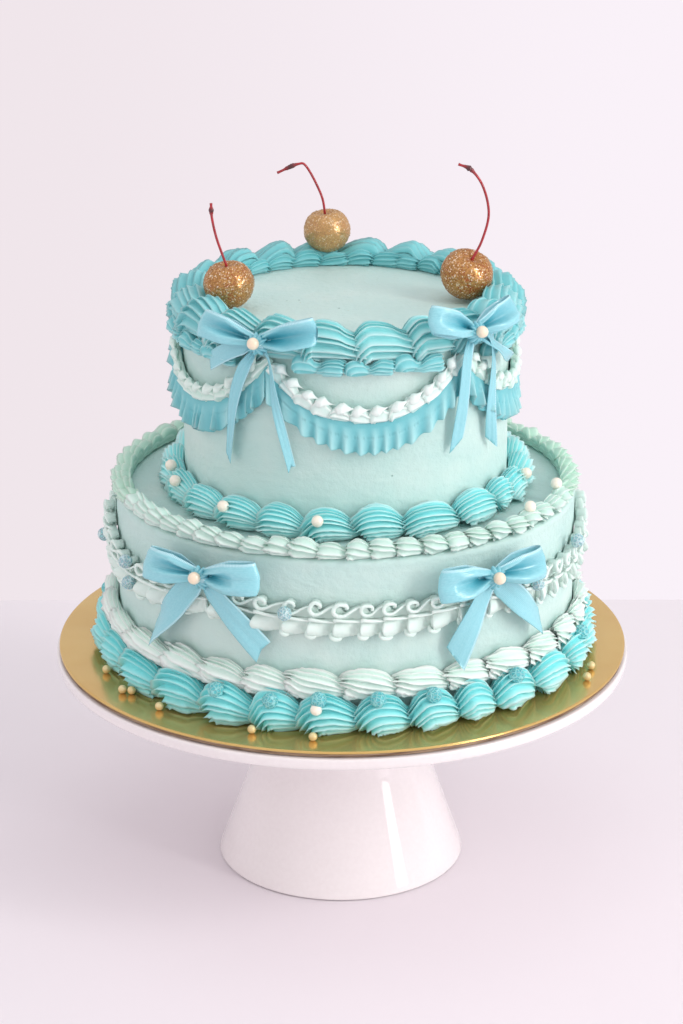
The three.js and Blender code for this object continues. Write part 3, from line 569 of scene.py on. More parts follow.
def swag_path(start, end, low, steps=60):
    """The course of a swag on a wall: from joint to joint at an even angle, with the height
    low + (h - low) t^2, where t runs from -1 to 1 and h is the height of the nearer joint."""
    t = np.linspace(-1, 1, steps)
    angle = start[0] + (end[0] - start[0]) * (t + 1) / 2
    return angle, np.where(t < 0, low + (start[1] - low) * t ** 2, low + (end[1] - low) * t ** 2)


def lay(form, path, wall):
    """Lays a form along a path on a wall: x is the distance along it, y lies square to it, d out."""
    angle, height = path
    across = np.radians(angle) * wall
    run = np.concatenate([[0], np.cumsum(np.hypot(np.diff(across), np.diff(height)))])
    slope_a, slope_z = np.gradient(across, run), np.gradient(height, run)
    x, y, d = form[..., 0], form[..., 1], form[..., 2]
    ca, cz = np.interp(x, run, slope_a), np.interp(x, run, slope_z)
    past = x - np.clip(x, 0, run[-1])
    a = np.interp(x, run, across) + past * ca - y * cz
    z = np.interp(x, run, height) + past * cz + y * ca
    return at(np.degrees(a / wall), wall + d, z)


def run_length(path, wall):
    """The length of a path on a wall."""
    return np.hypot(np.diff(np.radians(path[0]) * wall), np.diff(path[1])).sum()


def roll(points, radius, sides=8, square=(0, 0, 1.0)):
    """A tube round a line of points: a circle of the given radius square to the line, in a frame of
    its way x square and that x its way."""
    points = np.asarray(points, float)
    way = np.gradient(points, axis=0)
    way /= np.linalg.norm(way, axis=1)[:, None]
    side = np.cross(way, square)
    side /= np.maximum(np.linalg.norm(side, axis=1)[:, None], 1e-6)
    top = np.cross(side, way)
    turn = np.linspace(0, 2 * np.pi, sides, endpoint=False)[None, :, None]
    radius = np.broadcast_to(radius, len(points))[:, None, None]
    return points[:, None] + radius * (np.cos(turn) * side[:, None] + np.sin(turn) * top[:, None])


def standing_edge(line, radius):
    """The free edge of a sheet that stands on the wall. Along its line (x, y, d) runs a round bead of
    the given radius, and behind it the sheet, two fifths as thick, goes straight back to d = 0.3."""
    line = np.asarray(line, float)
    way = np.gradient(line[:, :2], axis=0)
    way /= np.maximum(np.linalg.norm(way, axis=1)[:, None], 1e-6)
    radius = np.broadcast_to(radius, len(line))[:, None]
    across = np.array([1, 0.72, 0, -0.72, -1, -0.45, -0.4, 0.4, 0.45]) * radius
    out = np.array([0, 0.72, 1, 0.72, 0, -1.1, 0, 0, -1.1]) * radius + line[:, 2:]
    out[:, 6:8] = 0.3
    return np.stack([line[:, :1] - way[:, 1:] * across, line[:, 1:2] + way[:, :1] * across, out], -1)


def unit_share(x, starts):
    """For each distance x along a swag, how far it lies through its unit (0 to 1), and the unit's number."""
    number = np.clip(np.searchsorted(starts, x, side="right") - 1, 0, len(starts) - 2)
    return (x - starts[number]) / (starts[number + 1] - starts[number]), number


def swell_of(share, rise=0.1, fall=0.62):
    """A puff's profile along its unit: up within the first part, slowly down, then flat to the next."""
    up = np.clip(share / rise, 0, 1)
    down = np.clip((share - rise) / fall, 0, 1)
    return 0.5 * (1 - np.cos(np.pi * up)) * (0.5 + 0.5 * np.cos(np.pi * down)) ** 0.8


def sheet(front):
    """Closes a sheet of icing: behind its front lies a back one 1 mm in, against the wall."""
    back = front[:, ::-1].copy()
    back[..., 2] = np.maximum(back[..., 2] - 1.1, 0.05) * 0.8
    return np.concatenate([front, back], 1)


swag_icing = pressed_icing("mint_swag_icing", "#b4d9cd", "#e6f3ee", 0.42, 0.6)
for i, start in enumerate(GARLAND_JOINTS):
    end = GARLAND_JOINTS[(i + 1) % 6]
    end = (end[0] + (360 if end[0] < start[0] else 0), end[1])
    path = swag_path(start, end, 188.5)
    total = run_length(path, 124.4)
    rng = np.random.default_rng(600 + i)
    forms, marks = [], []
    count = round((total - 6) / 12.2)
    starts = np.linspace(3, total - 3, count + 1)
    starts[1:-1] += rng.uniform(-1.4, 1.4, count - 1)
    # Lower row: puffed petals, each lapping over the flat torn skirt of the one before.
    x = np.linspace(starts[0], starts[-1] - 0.01, count * 26)[:, None]
    share, number = unit_share(x, starts)
    puff = swell_of(share, 0.12, 0.72) * rng.uniform(0.85, 1.15, count)[number]
    down = np.linspace(0, 1, 15)[None, :]
    torn = 0.8 * wander(700 + i, 9, 3.4 * x)
    hem = 8.3 + 1.7 * puff + torn * (1 - puff)
    round_ = np.sin(np.pi * (0.05 + 0.9 * down)) ** 0.85
    y = 0.2 - hem * down
    d = 1.6 + 5.6 * puff * round_ + 0.6 * (1 - puff) * wander(710 + i, 6, 1.3 * x, 3 * down)
    front = np.stack([x - 2.6 * puff * round_, y + 0 * x, np.maximum(d, 1.1)], -1)
    forms.append(lay(sheet(front), path, 124.4))
    # Each part of the swag gets one mark: the string in front the highest, the sheet behind the curls the lowest, and
    # the lip under a petal low too, so what lies behind or under is painted a deeper mint: painted shade.
    marks.append(np.full(front.shape[:2][0:1] + (30,), 0.85))
    # Upper row: a sheet that stands up behind the middle string and hangs from the rolled lip.
    rim = np.interp(share, [0, 0.1, 0.22, 0.3, 0.37, 0.47, 0.65, 0.88, 1], [6.9, 7.6, 7.8, 7.0, 4.6, 4.2, 5.5, 6.8, 7.0])
    ripple = swell_of(share, 0.08, 0.5)
    d = 1.3 + 2.0 * ripple * (0.4 + 0.6 * down) + 0.9 * down
    front = np.stack([x - 0.9 * ripple * down, 0.3 + (rim - 0.3) * down, d + 0 * x], -1)
    forms.append(lay(sheet(front), path, 124.4))
    # Painted shade: the sheet behind the curls gets the lowest mark.
    marks.append(np.full(front.shape[:2][0:1] + (30,), 0.7))
    for k in range(count):
        x0, step = starts[k], starts[k + 1] - starts[k]
        s = step / 12.2
        wide, tall = rng.uniform(0.8, 1.2), rng.uniform(0.85, 1.1)
        # The lip rolls round in a curl that is open to the right, then runs on behind the next one.
        knots = np.array([[1.2, 6.0, 3.2], [2.3, 6.6, 3.9], [1.7, 8.2, 4.5], [-0.5, 8.8, 4.9],
                          [-2.2, 7.4, 5.2], [-2.5, 5.4, 5.4], [-1.1, 3.7, 5.4], [1.1, 3.3, 5.1],
                          [3.4, 4.2, 4.6], [5.6, 5.6, 4.1], [8.4, 6.9, 3.4], [11.8, 7.5, 2.4]])
        knots[:3, 0] += rng.uniform(-0.5, 1.4)
        knots[:4, 1] += rng.uniform(-0.7, 0.5)
        knots[5:10, 2] += rng.uniform(-0.8, 0.6)
        curl = smooth_line(knots, 46)
        curl = curl + np.array([0, 1, 0.6]) * rng.uniform(-0.5, 0.5)
        curl[:, 0] = x0 + 2.4 + np.where(curl[:, 0] > 2.5, 2.5 + (curl[:, 0] - 2.5) * s, curl[:, 0] * wide)
        curl[:, 1] = 3.7 + (curl[:, 1] - 3.7) * tall
        thick = np.interp(np.linspace(0, 1, 46), [0, 0.05, 0.2, 0.55, 0.72, 1], [0.5, 0.85, 1.0, 1.0, 0.75, 0.5])
        forms.append(lay(standing_edge(curl, thick * rng.uniform(0.85, 1.15)), path, 124.4))
        marks.append(np.full((46, 9), 0.85))
        # The middle string: one stretch, with a blunt start over the last one and a thin end.
        cord = smooth_line([[-1.2, 0.9, 4.6], [0.0, 1.3, 5.6], [3.4, 0.7, 5.2], [7.5, 0.1, 4.4],
                            [13.8, -0.6, 3.2]], 18) * [s, 1, 1] + [x0 + 1.2, rng.uniform(-0.3, 0.3), 0]
        thick = np.interp(np.linspace(0, 1, 18), [0, 0.06, 0.2, 0.7, 1], [0.35, 1.15, 1.0, 0.8, 0.4])
        forms.append(lay(roll(cord, thick), path, 124.4))
        marks.append(np.full((18, 8), 0.95))
        # The petal's end curls under in a short lip.
        curl = rng.uniform(0.6, 1.2)
        lip = smooth_line([[-1.9, -5.6, 3.4], [-1.9, -7.2, 4.2], [-0.9, -8.5, 4.5], [0.9, -9.0, 4.2],
                           [2.6, -8.7, 3.4], [3.0, -7.9, 2.4]], 18)
        lip = lip * [curl, 0.75 + 0.25 * curl, 1] + [x0 + 0.4, rng.uniform(-0.3, 0.3) - 0.5, 0]
        thick = np.interp(np.linspace(0, 1, 18), [0, 0.25, 0.6, 1], [0.6, 1.3, 1.2, 0.5])
        forms.append(lay(roll(lip, thick), path, 124.4))
        marks.append(np.full((18, 8), 0.8))
    garland = mesh_piece(f"lower_garland_icing_{i + 1}", forms, [swag_icing], marks)
    face_out(garland)
    ride_as(garland, "mint_icing", f"lower_garland_{i + 1}")

# Ruffle under each swag of the upper tier: teal icing from a petal tip, held with its thin edge down
# and shaken, so soft pleats open towards a wavy hem and a fine torn line runs across them.
UPPER_SWAGS = [-26.5, 41, 110, 188.5, 267]
WALL = 87.4


def climb(t):
    """How far a swag has climbed at a share t of its half width: 0.75 t^2 + 0.25 t^4."""
    return 0.75 * t ** 2 + 0.25 * t ** 4


ruffle_icing = pressed_icing("teal_ruffle_icing", "#63b8c1", "#b2e1e2", 0.5, 0.7)
for i, start in enumerate(UPPER_SWAGS):
    end = UPPER_SWAGS[(i + 1) % 5] + (360 if i == 4 else 0)
    half_angle = (end - start) / 2
    t = np.linspace(-0.998, 0.998, 260)[:, None]
    angle = start + half_angle * (1 + t)
    string = 284.5 + 29 * climb(t)
    top = np.minimum(string - 3.2, 309.5)
    bottom = 263.6 + 26.8 * t ** 2
    down = np.linspace(0, 1, 24)[None, :]
    way = np.radians(half_angle) * WALL * t
    # Pleats some 7 mm apart, none in the upper third and deepest at the hem.
    beat = way / (7.2 if i == 0 else 6.4) + 0.85 * wander(40 + i, 6, way / 13)
    pleat = 0.5 + 0.5 * np.sin(2 * np.pi * beat + 0.25 * np.sin(2 * np.pi * beat))
    if i > 0:
        pleat = (1 - np.abs(np.sin(np.pi * beat)) ** 0.9)
    open_ = np.clip((down - 0.22) / 0.78, 0, 1)
    strength = (0.95 + 0.6 * wander(50 + i, 5, way / 8)) * (open_ ** 1.2) * (1.0 if i == 0 else 1.8)
    depth = 2.6 + 1.2 * np.sin(np.pi * down * 0.9) + 2.9 * (pleat - 0.12) * strength
    line = 0.5 * np.exp(-((down - 0.52) / 0.025) ** 2) * (wander(55 + i, 9, way * 1.1) > 0.0)
    sway = (0.3 if i == 0 else 0.8) * open_ * np.cos(2 * np.pi * beat + 0.8)
    hem = 1.1 * (0.6 - pleat ** 0.6) if i == 0 else -2.8 * (0.5 - pleat)
    hem = hem + 0.3 * wander(60 + i, 9, way * 1.9)
    z = top + (bottom + hem * down ** 5 - top) * down
    front = at(angle + np.degrees(sway / WALL), WALL + np.maximum(depth - line, 0.6), z)
    lip = at(angle + np.degrees(sway[:, -1:] / WALL), WALL + np.maximum(depth[:, -1:] - 1.2, 0.3), z[:, -1:] + 0.1)
    under = at(angle, WALL + 0.1 + 0 * down[:, :3],
               np.concatenate([z[:, -1:] + 1.0, z[:, -1:] * 0.5 + z[:, :1] * 0.5, z[:, :1]], 1))
    grid = np.concatenate([front, lip, under], 1)
    # The mark is high on the pleats' crests towards the hem and low in their valleys, in the smooth band under the
    # string and on the turned-under edge: painted highlight and painted shade.
    mark = np.concatenate([pleat * open_ ** 0.5, pleat, np.zeros((260, 3))], 1)
    ruffle = mesh_piece(f"upper_ruffle_icing_{i + 1}", [grid], [ruffle_icing], [mark])
    face_out(ruffle)
    ride_as(ruffle, "teal_icing", f"upper_ruffle_{i + 1}")

# String over the ruffle: white mint icing from a small tip in two rows. Below lie blunt scallops that
# overlap, with a few soft ridges, and on top of them pulled drops that end in a point.
white = pressed_icing("white_mint_string_icing", "#cbe6df", "#eff8f4", 0.4, 0.5)


def drop(length, height, depth, seed, crease=0.06):
    """One pulled drop: a round head at x = 0 that narrows to a point at x = length. Its half height is
    0.5 height times (1 - (1 - s/0.32)^2)^0.5 up to s = 0.32, then falls as e^-((s - 0.32)/0.29)^1.6."""
    s = np.linspace(0.004, 1, 20)[:, None]
    turn = np.linspace(0, 2 * np.pi, 18, endpoint=False)[None, :]
    nose = np.sqrt(np.clip(1 - (1 - np.minimum(s / 0.32, 1)) ** 2, 0, 1))
    taper = np.exp(-np.clip((s - 0.32) / 0.29, 0, 3) ** 1.6)
    wide = 0.5 * height * nose * taper
    fold = 1 + crease * np.cos(3 * turn + 1.2) + 0.04 * wander(seed, 4, 5 * s, 2 * turn)
    x = s * length + 0 * turn
    y = wide * np.cos(turn) * fold + 0.18 * height * s
    d = 0.42 * depth + 0.6 * depth * nose * taper * np.sin(turn) * fold
    # The mark is high on the side that faces out and low on the side towards the wall: painted light and painted shade.
    return np.stack([x, y, np.maximum(d, 0.05)], -1), 0.5 + 0.4 * np.sin(turn) + 0 * s


for i, start in enumerate(UPPER_SWAGS):
    end = UPPER_SWAGS[(i + 1) % 5] + (360 if i == 4 else 0)
    half_angle = (end - start) / 2
    t = np.linspace(-0.93, 0.93, 80)
    path = start + half_angle * (1 + t), 284.5 + 29 * climb(t)
    total = run_length(path, WALL)
    rng = np.random.default_rng(1000 + i)
    forms, marks = [], []
    count = round(total / 9.2)
    for k in range(count):
        x = k * total / count
        big, mark = star_shell(total / count * rng.uniform(0.92, 1.08), 8.4 * rng.uniform(0.88, 1.1), 5.2, 5,
                               1100 + k, cut=0.2, pivot=rng.uniform(0.2, 0.5), rows=16, reach=1.5,
                               twist=rng.uniform(0.4, 1.5), teeth=0.5, low=-0.6, tail=(0.62, 0.08),
                               fan=rng.uniform(0.0, 0.7), end=0.6, crown=0.9, fine=5)
        forms.append(lay(big + [x, -5.6 + rng.uniform(-0.3, 0.3), 0], path, WALL))
        marks.append(mark)
        small, mark = drop(10.4 * rng.uniform(0.8, 1.2), 6.2 * rng.uniform(0.8, 1.15), 4.6, 1200 + k, 0.05)
        small[..., 1] += 0.1 * small[..., 0]
        forms.append(lay(small * [1, 1, 0.85] + [x + 1.5 + rng.uniform(-1, 1), 0.9 + rng.uniform(-0.4, 0.4), 2.1],
                         path, WALL))
        marks.append(mark)
    string = mesh_piece(f"upper_string_icing_{i + 1}", forms, [rim_mint if i else white], marks)
    face_out(string)
    ride_as(string, "mint_icing", f"upper_string_{i + 1}")

# Fringe close under the border: teal icing pushed to and fro, so a smooth cup-shaped puff and a small
# ridged shell that fans out the other way lie by turns. It is given a deeper teal than the shells below.
deep_teal = pressed_icing("deep_teal_pressed_icing", "#61bec4", "#aee1e2")
for i, start in enumerate(UPPER_SWAGS):
    end = UPPER_SWAGS[(i + 1) % 5] + (360 if i == 4 else 0)
    half_angle = (end - start) / 2
    rng = np.random.default_rng(1300 + i)
    forms, marks = [], []
    span = 1.4 * half_angle
    count = round(span / 7.6)
    for k in range(count):
        joint = start + 0.3 * half_angle + k * span / count
        length = np.radians(span / count) * 90
        ridged = k % 2 == 1
        form, mark = star_shell(length, (8.6 if ridged else 9.8) * rng.uniform(0.88, 1.1), 7.4, 12 if ridged else 7,
                                1400 + k, cut=0.34 if ridged else 0.13, pivot=rng.uniform(0.3, 0.7), rows=18,
                                twist=rng.uniform(-0.3, 0.9), reach=1.5, low=-0.8, tail=(0.6, 0.1),
                                teeth=0.9 if ridged else 0.2, fan=0.9 if ridged else 0.15, end=0.5)
        if ridged:
            form[..., 0] = length - form[..., 0]
        forms.append(on_ring(form, joint + rng.uniform(-0.8, 0.8), WALL, 304.8 + rng.uniform(-0.6, 0.9), 90))
        marks.append(mark)
    fringe = mesh_piece(f"upper_fringe_icing_{i + 1}", forms, [deep_teal], marks)
    face_out(fringe)
    ride_as(fringe, "teal_icing", f"upper_fringe_{i + 1}")

# Border of the upper tier: the largest teal shells, over the top edge. Each starts low on the wall,
# wells up over the edge and is pulled to the right in six to eight deep, smooth ridges.
BORDER_JOINTS = [-51, -33, -14.7, 1.3, 20.7, 36.5, 54, 72]
joints = ring_joints(BORDER_JOINTS, 18)
gaps = np.diff(np.append(joints, joints[0] + 360))
rng = np.random.default_rng(71)
forms, marks, picks = [], [], []
for k, joint in enumerate(joints):
    facing = math.cos(math.radians(joint + 9))
    tall = 21.0 - 1.0 * math.cos(math.radians(joint + 9))
    form, mark = star_shell(np.radians(gaps[k]) * 88, tall * rng.uniform(0.96, 1.03), 19.9, 16, 1500 + k,
                            cut=0.22, pivot=rng.uniform(0.2, 0.35), rows=34, twist=rng.uniform(0.1, 0.6),
                            teeth=0.25 if abs(joint - 5) < 35 else 1.2, reach=1.36, low=-1.5, lean=-0.08,
                            tail=(0.56, -0.02), end=0.86, crown=1.0)
    forms.append(on_ring(form, joint, 73.0, 309.8, 88))
    # Painted shade: shells round the back get lower marks, and those round the sides and back the deeper teal.
    marks.append(mark * (0.85 if facing > 0 else 0.35))
    picks.append(int(facing < 0.72))
# Round the back a second, low row lies inside it on the cake's top, between the cherries.
for k in range(13):
    joint = 112 + 11.5 * k
    form, mark = star_shell(15.5, 8.4 * rng.uniform(0.8, 1.15), 5.4, 10, 1560 + k, cut=0.34, rows=16,
                            pivot=rng.uniform(0.3, 0.6), twist=rng.uniform(0.2, 1.6), teeth=1.2, reach=1.4,
                            fan=rng.uniform(0.2, 1.0), end=0.4, fine=5)
    form[..., 2] *= -1
    forms.append(on_ring(form, joint + rng.uniform(-1.5, 1.5), 75.2, 319.2, 72))
    # Painted shade: the inner row takes low marks and the deeper teal.
    marks.append(mark * 0.4)
    picks.append(1)
# The heads at the front are a little greyer than the shells at the foot.
border_teal = pressed_icing("border_teal_pressed_icing", "#6acfd1", "#d3f1f0")
border = mesh_piece("upper_border_teal_shells", forms, [border_teal, deep_teal], marks, picks=picks)
face_out(border)
ride_as(border, "teal_icing", "upper_border_shells")

# Ribbon bows: woven polyester satin, light blue, 13 mm wide on the lower tier and 6 mm in the long
# tails of the upper one. Two loops and the tails are gathered in a crumpled band under a pearl.
LOWER_KNOTS = [(-32.6, 208), (33, 207.5), (150, 208), (210, 208)]
UPPER_KNOTS = [(-26.3, 322), (41, 323.8), (188.5, 312)]

satin, shader = new_material("light_blue_satin_ribbon")
spots = add(satin, "ShaderNodeUVMap", uv_map="UVMap")
parts = add(satin, "ShaderNodeSeparateXYZ", {0: spots.outputs[0]})
# The weave's ribs are about 0.35 mm apart, drawn coarser than the real thread so that they show.
rib = add(satin, "ShaderNodeMath", {0: parts.outputs[1], 1: 230.0}, operation="MULTIPLY")
wavey = add(satin, "ShaderNodeMath", {0: rib.outputs[0]}, operation="SINE")
slub = add(satin, "ShaderNodeTexNoise", {"Vector": spots.outputs[0], "Scale": 40.0, "Detail": 3.0})
off = add(satin, "ShaderNodeMath", {0: parts.outputs[1], 1: 0.5}, operation="SUBTRACT")
dist = add(satin, "ShaderNodeMath", {0: off.outputs[0]}, operation="ABSOLUTE")
selvedge = add(satin, "ShaderNodeMapRange", {0: dist.outputs[0], 1: 0.45, 2: 0.475, 3: 0.0, 4: 1.0})
tone = add(satin, "ShaderNodeMix", {"Factor": slub.outputs[0], 6: linear("#7cc8d4"), 7: linear("#9edce5")},
           data_type="RGBA")
# Painted shade: the crest mark puts a deep blue into the hollows of the loops, the folds of the tails and band, and
# near the knot; a painted highlight keeps the lips round the hollows paler.
painted_satin_shade = add(satin, "ShaderNodeAttribute", attribute_name="crest")
tone = add(satin, "ShaderNodeMix", {"Factor": painted_satin_shade.outputs["Fac"], 6: linear("#2f9db0"), 7: tone.outputs[2]},
           data_type="RGBA")
# The selvedge is sewn with stitches some 0.6 mm apart.
pitch = add(satin, "ShaderNodeMath", {0: parts.outputs[0], 1: 700.0}, operation="MULTIPLY")
stitch = add(satin, "ShaderNodeMath", {0: pitch.outputs[0]}, operation="SINE")
stitch = add(satin, "ShaderNodeMapRange", {0: stitch.outputs[0], 1: -0.4, 2: 0.5, 3: 0.25, 4: 1.0})
sewn = add(satin, "ShaderNodeMath", {0: selvedge.outputs[0], 1: stitch.outputs[0]}, operation="MULTIPLY")
edged = add(satin, "ShaderNodeMix", {"Factor": sewn.outputs[0], 6: tone.outputs[2], 7: linear("#c2ebf3")},
            data_type="RGBA")
high = add(satin, "ShaderNodeMath", {0: selvedge.outputs[0], 1: 2.5, 2: wavey.outputs[0]},
           operation="MULTIPLY_ADD")
relief = add(satin, "ShaderNodeBump", {"Height": high.outputs[0], "Strength": 0.25, "Distance": 0.0001})
give(satin, shader, {"Base Color": edged.outputs[2], "Roughness": 0.27, "Sheen Weight": 0.1,
                     "Sheen Roughness": 0.4, "Anisotropic": 0.5, "Specular IOR Level": 1.0,
                     "Normal": relief.outputs[0]})


def sugar_pearl(name, deep, pale):
    """Sugar rolled into a ball and polished with pearl lustre, with soft clouds of tone."""
    material, shader = new_material(name)
    place = add(material, "ShaderNodeTexCoord").outputs["Object"]
    cloud = add(material, "ShaderNodeTexNoise", {"Vector": place, "Scale": 180.0, "Detail": 2.0})
    tone = add(material, "ShaderNodeMix", {"Factor": cloud.outputs[0], 6: linear(deep),
                                             7: linear(pale)}, data_type="RGBA")
    relief = add(material, "ShaderNodeBump", {"Height": cloud.outputs[0], "Strength": 0.1, "Distance": 0.0003})
    give(material, shader, {"Base Color": tone.outputs[2], "Roughness": 0.28, "Coat Weight": 0.8,
                              "Coat Roughness": 0.2, "Subsurface Weight": 0.15, "Subsurface Scale": 0.002,
                              "Subsurface Radius": (1.0, 0.9, 0.8),
                              "Normal": relief.outputs[0]})
    return material


pearl_coat = sugar_pearl("cream_sugar_pearl", "#ecd4b0", "#f9ecda")


def ball(middle, radius, rows=14, columns=20):
    """A ball: radius times (sin a cos b, sin a sin b, cos a) about its middle."""
    a = np.linspace(0.02, np.pi - 0.02, rows)[:, None]
    b = np.linspace(0, 2 * np.pi, columns, endpoint=False)[None, :]
    way = np.stack([np.sin(a) * np.cos(b), np.sin(a) * np.sin(b), np.cos(a) + 0 * b], -1)
    return np.asarray(middle) + radius * way


def strip(line, across, width, folds=0.0, seed=0, columns=15):
    """A ribbon: round each point of its line it spans width along the direction across, with folds
    that stand out by folds sin(5 pi v) where it is gathered. Returns a thin closed form."""
    v = np.linspace(-0.5, 0.5, columns)[None, :, None]
    line = np.asarray(line, float)
    across = np.asarray(across, float)
    width = np.broadcast_to(width, len(line))[:, None, None]
    folds = np.broadcast_to(folds, len(line))[:, None]
    front = line[:, None] + across[:, None] * width * v
    way = np.gradient(line, axis=0)
    normal = np.cross(way, across)
    normal /= np.maximum(np.linalg.norm(normal, axis=1)[:, None], 1e-6)
    wave = folds * np.sin(5 * np.pi * v[..., 0] + wander(seed, 4, v[..., 0] * 3 + 0 * folds))
    front = front + normal[:, None] * wave[..., None]
    thin = 0.16
    face = front + normal[:, None] * thin
    back = (front - normal[:, None] * thin)[:, ::-1]
    return np.concatenate([face, back], 1)


def set_on(form, knot, radius):
    """Sets a bow's form on the wall at its knot: x to the right along the wall, y up, d out."""
    x, y, d = form[..., 0], form[..., 1], form[..., 2]
    return at(knot[0] + np.degrees(x / radius), radius + d, knot[1] + y)


def bow_loop(side, reach, rise, half, width, tilt, hollow, seed):
    """One loop of a bow: a ribbon along the drop shape p = reach (0.5 - 0.5 cos 2 pi t)^0.8 and
    q = 1.3 half sin(2 pi t) sin(pi t)^0.6. p goes sideways and up by rise, q goes up and out along
    (cos tilt, sin tilt), and the width lies square to both. The front strand sinks into a drop-shaped
    hollow of (depth, offset, half width, share of the reach) where the knot pinches it, and the fold
    at the far end bulges. Returns the form and a mark that is 1 on the plain ribbon and low in the hollow
    and near the knot, as painted shade there, and raised on the lip round the hollow as a painted highlight."""
    t = np.linspace(0, 1, 72)
    p = reach * (0.5 - 0.5 * np.cos(2 * np.pi * t)) ** 0.8
    q = 1.3 * half * np.sin(2 * np.pi * t) * np.sin(np.pi * t) ** 0.6
    c, s = math.cos(tilt), math.sin(tilt)
    far = p / reach
    line = np.stack([side * p, rise * p / reach + q * c, 3.0 + q * s + 2.6 * far ** 0.6], -1)
    across = np.array([side * 0.1, -s, c]) / np.linalg.norm([0.1, s, c]) + 0 * line
    spread = 0.26 + 0.74 * np.clip(far / 0.5, 0, 1) ** 0.7 + 0.1 * far
    form = strip(line, across, width * spread, 0.5 * (1 - far) ** 1.5 + 0.1, seed, 21)
    v = np.concatenate([np.linspace(-0.5, 0.5, 21), np.linspace(0.5, -0.5, 21)])[None, :]
    deep, offset, wide, stop = hollow
    along = np.clip((far - 0.03) / 0.2, 0, 1) ** 0.8 * np.clip((stop - far) / (0.75 * stop), 0, 1) ** 0.7
    spot = wide * (0.35 + 0.65 * np.clip(far / 0.55, 0, 1))[:, None]
    dent = np.cos(np.clip(np.abs(v + offset * far[:, None]) / spot, 0, 1) * np.pi / 2) ** 1.5
    dent = dent * (along * np.clip(4 * np.sin(2 * np.pi * t), 0, 1))[:, None]
    # A soft lip stands up round the hollow and catches the light; the mark is raised on it too, as a painted highlight.
    lip = np.exp(-((np.abs(v + offset * far[:, None]) / spot - 1.05) / 0.3) ** 2)
    lip = 0.9 * lip * (along ** 0.5 * np.clip(4 * np.sin(2 * np.pi * t), 0, 1))[:, None]
    arms = 1.3 * np.sin(2 * np.pi * np.abs(v)) * (far * (1 - far))[:, None] * 4
    form[..., 1] -= (deep * dent - arms - lip) * c
    form[..., 2] -= (deep * dent - lip - arms * np.clip(4 * np.sin(2 * np.pi * t), 0, 1)[:, None]) * s
    form[..., 0] += side * 2.0 * (1 - 4 * v ** 2) * far[:, None] ** 5
    # Painted shade: the mark sinks in the hollow and towards the knot, where the ribbon is pinched.
    painted_satin_shade = 0.45 * (1 - far[:, None]) ** 3
    shade = dent ** 0.6 * (1 - 0.4 * np.clip(far / stop, 0, 1)[:, None])
    return form, np.clip(1 - shade - painted_satin_shade + 0.4 * lip, 0, 1)


def bow_tail(course, width, slant, seed, turn_over=0.0, notch=0.0):
    """A tail: a ribbon along a smooth line from the knot, gathered at first, with its end cut at a
    slant or with a notch in the middle. Returns the form and a mark that is low in its first folds and
    near the knot, as painted shade there."""
    line = smooth_line(course, 40)
    t = np.linspace(0, 1, 40)
    way = np.gradient(line[:, :2], axis=0)
    way /= np.linalg.norm(way, axis=1)[:, None]
    lean = turn_over * np.sin(np.pi * t * 1.5)
    across = np.stack([way[:, 1] * np.cos(lean), -way[:, 0] * np.cos(lean), np.sin(lean)], -1)
    grow = np.clip(t / 0.3, 0, 1) ** 0.6
    form = strip(line, across, width * (0.3 + 0.7 * grow), 1.1 * (1 - grow) + 0.12, seed)
    v = np.concatenate([np.linspace(-0.5, 0.5, 15), np.linspace(0.5, -0.5, 15)])
    reach = np.clip((t - 0.75) / 0.25, 0, 1)[:, None] * (slant * v + notch * (np.abs(v) - 0.25))[None, :]
    form[..., :2] += reach[..., None] * way[:, None]
    folds = np.cos(4 * np.pi * v + 1.0)[None, :] * (1 - grow)[:, None]
    return form, np.clip(1 - 0.7 * np.clip(folds, 0, 1) - 0.25 * (1 - t[:, None]) ** 2 + 0 * v, 0, 1)


def crumpled(size, depth, seed):
    """The gathered band of a bow: a low dome whose rim is drawn in by eleven folds. Its mark is low
    between two folds, as painted shade there."""
    t = np.linspace(0, 1, 12)[:, None]
    turn = np.linspace(0, 2 * np.pi, 66, endpoint=False)[None, :]
    fold = 1 + (0.16 * np.cos(11 * turn + wander(seed, 5, 2 * turn)) + 0.06 * wander(seed, 6, 6 * turn)) * (1 - t) ** 0.5
    radius = size * np.cos(0.5 * np.pi * t * 0.98) ** 0.8 * fold
    dome = depth * np.sin(0.5 * np.pi * t) + 0.25 * fold
    form = np.stack([radius * np.cos(turn), radius * np.sin(turn) - 1.2, dome + 3.2], -1)
    return form, np.clip(1.9 * (fold - 0.72), 0, 1)


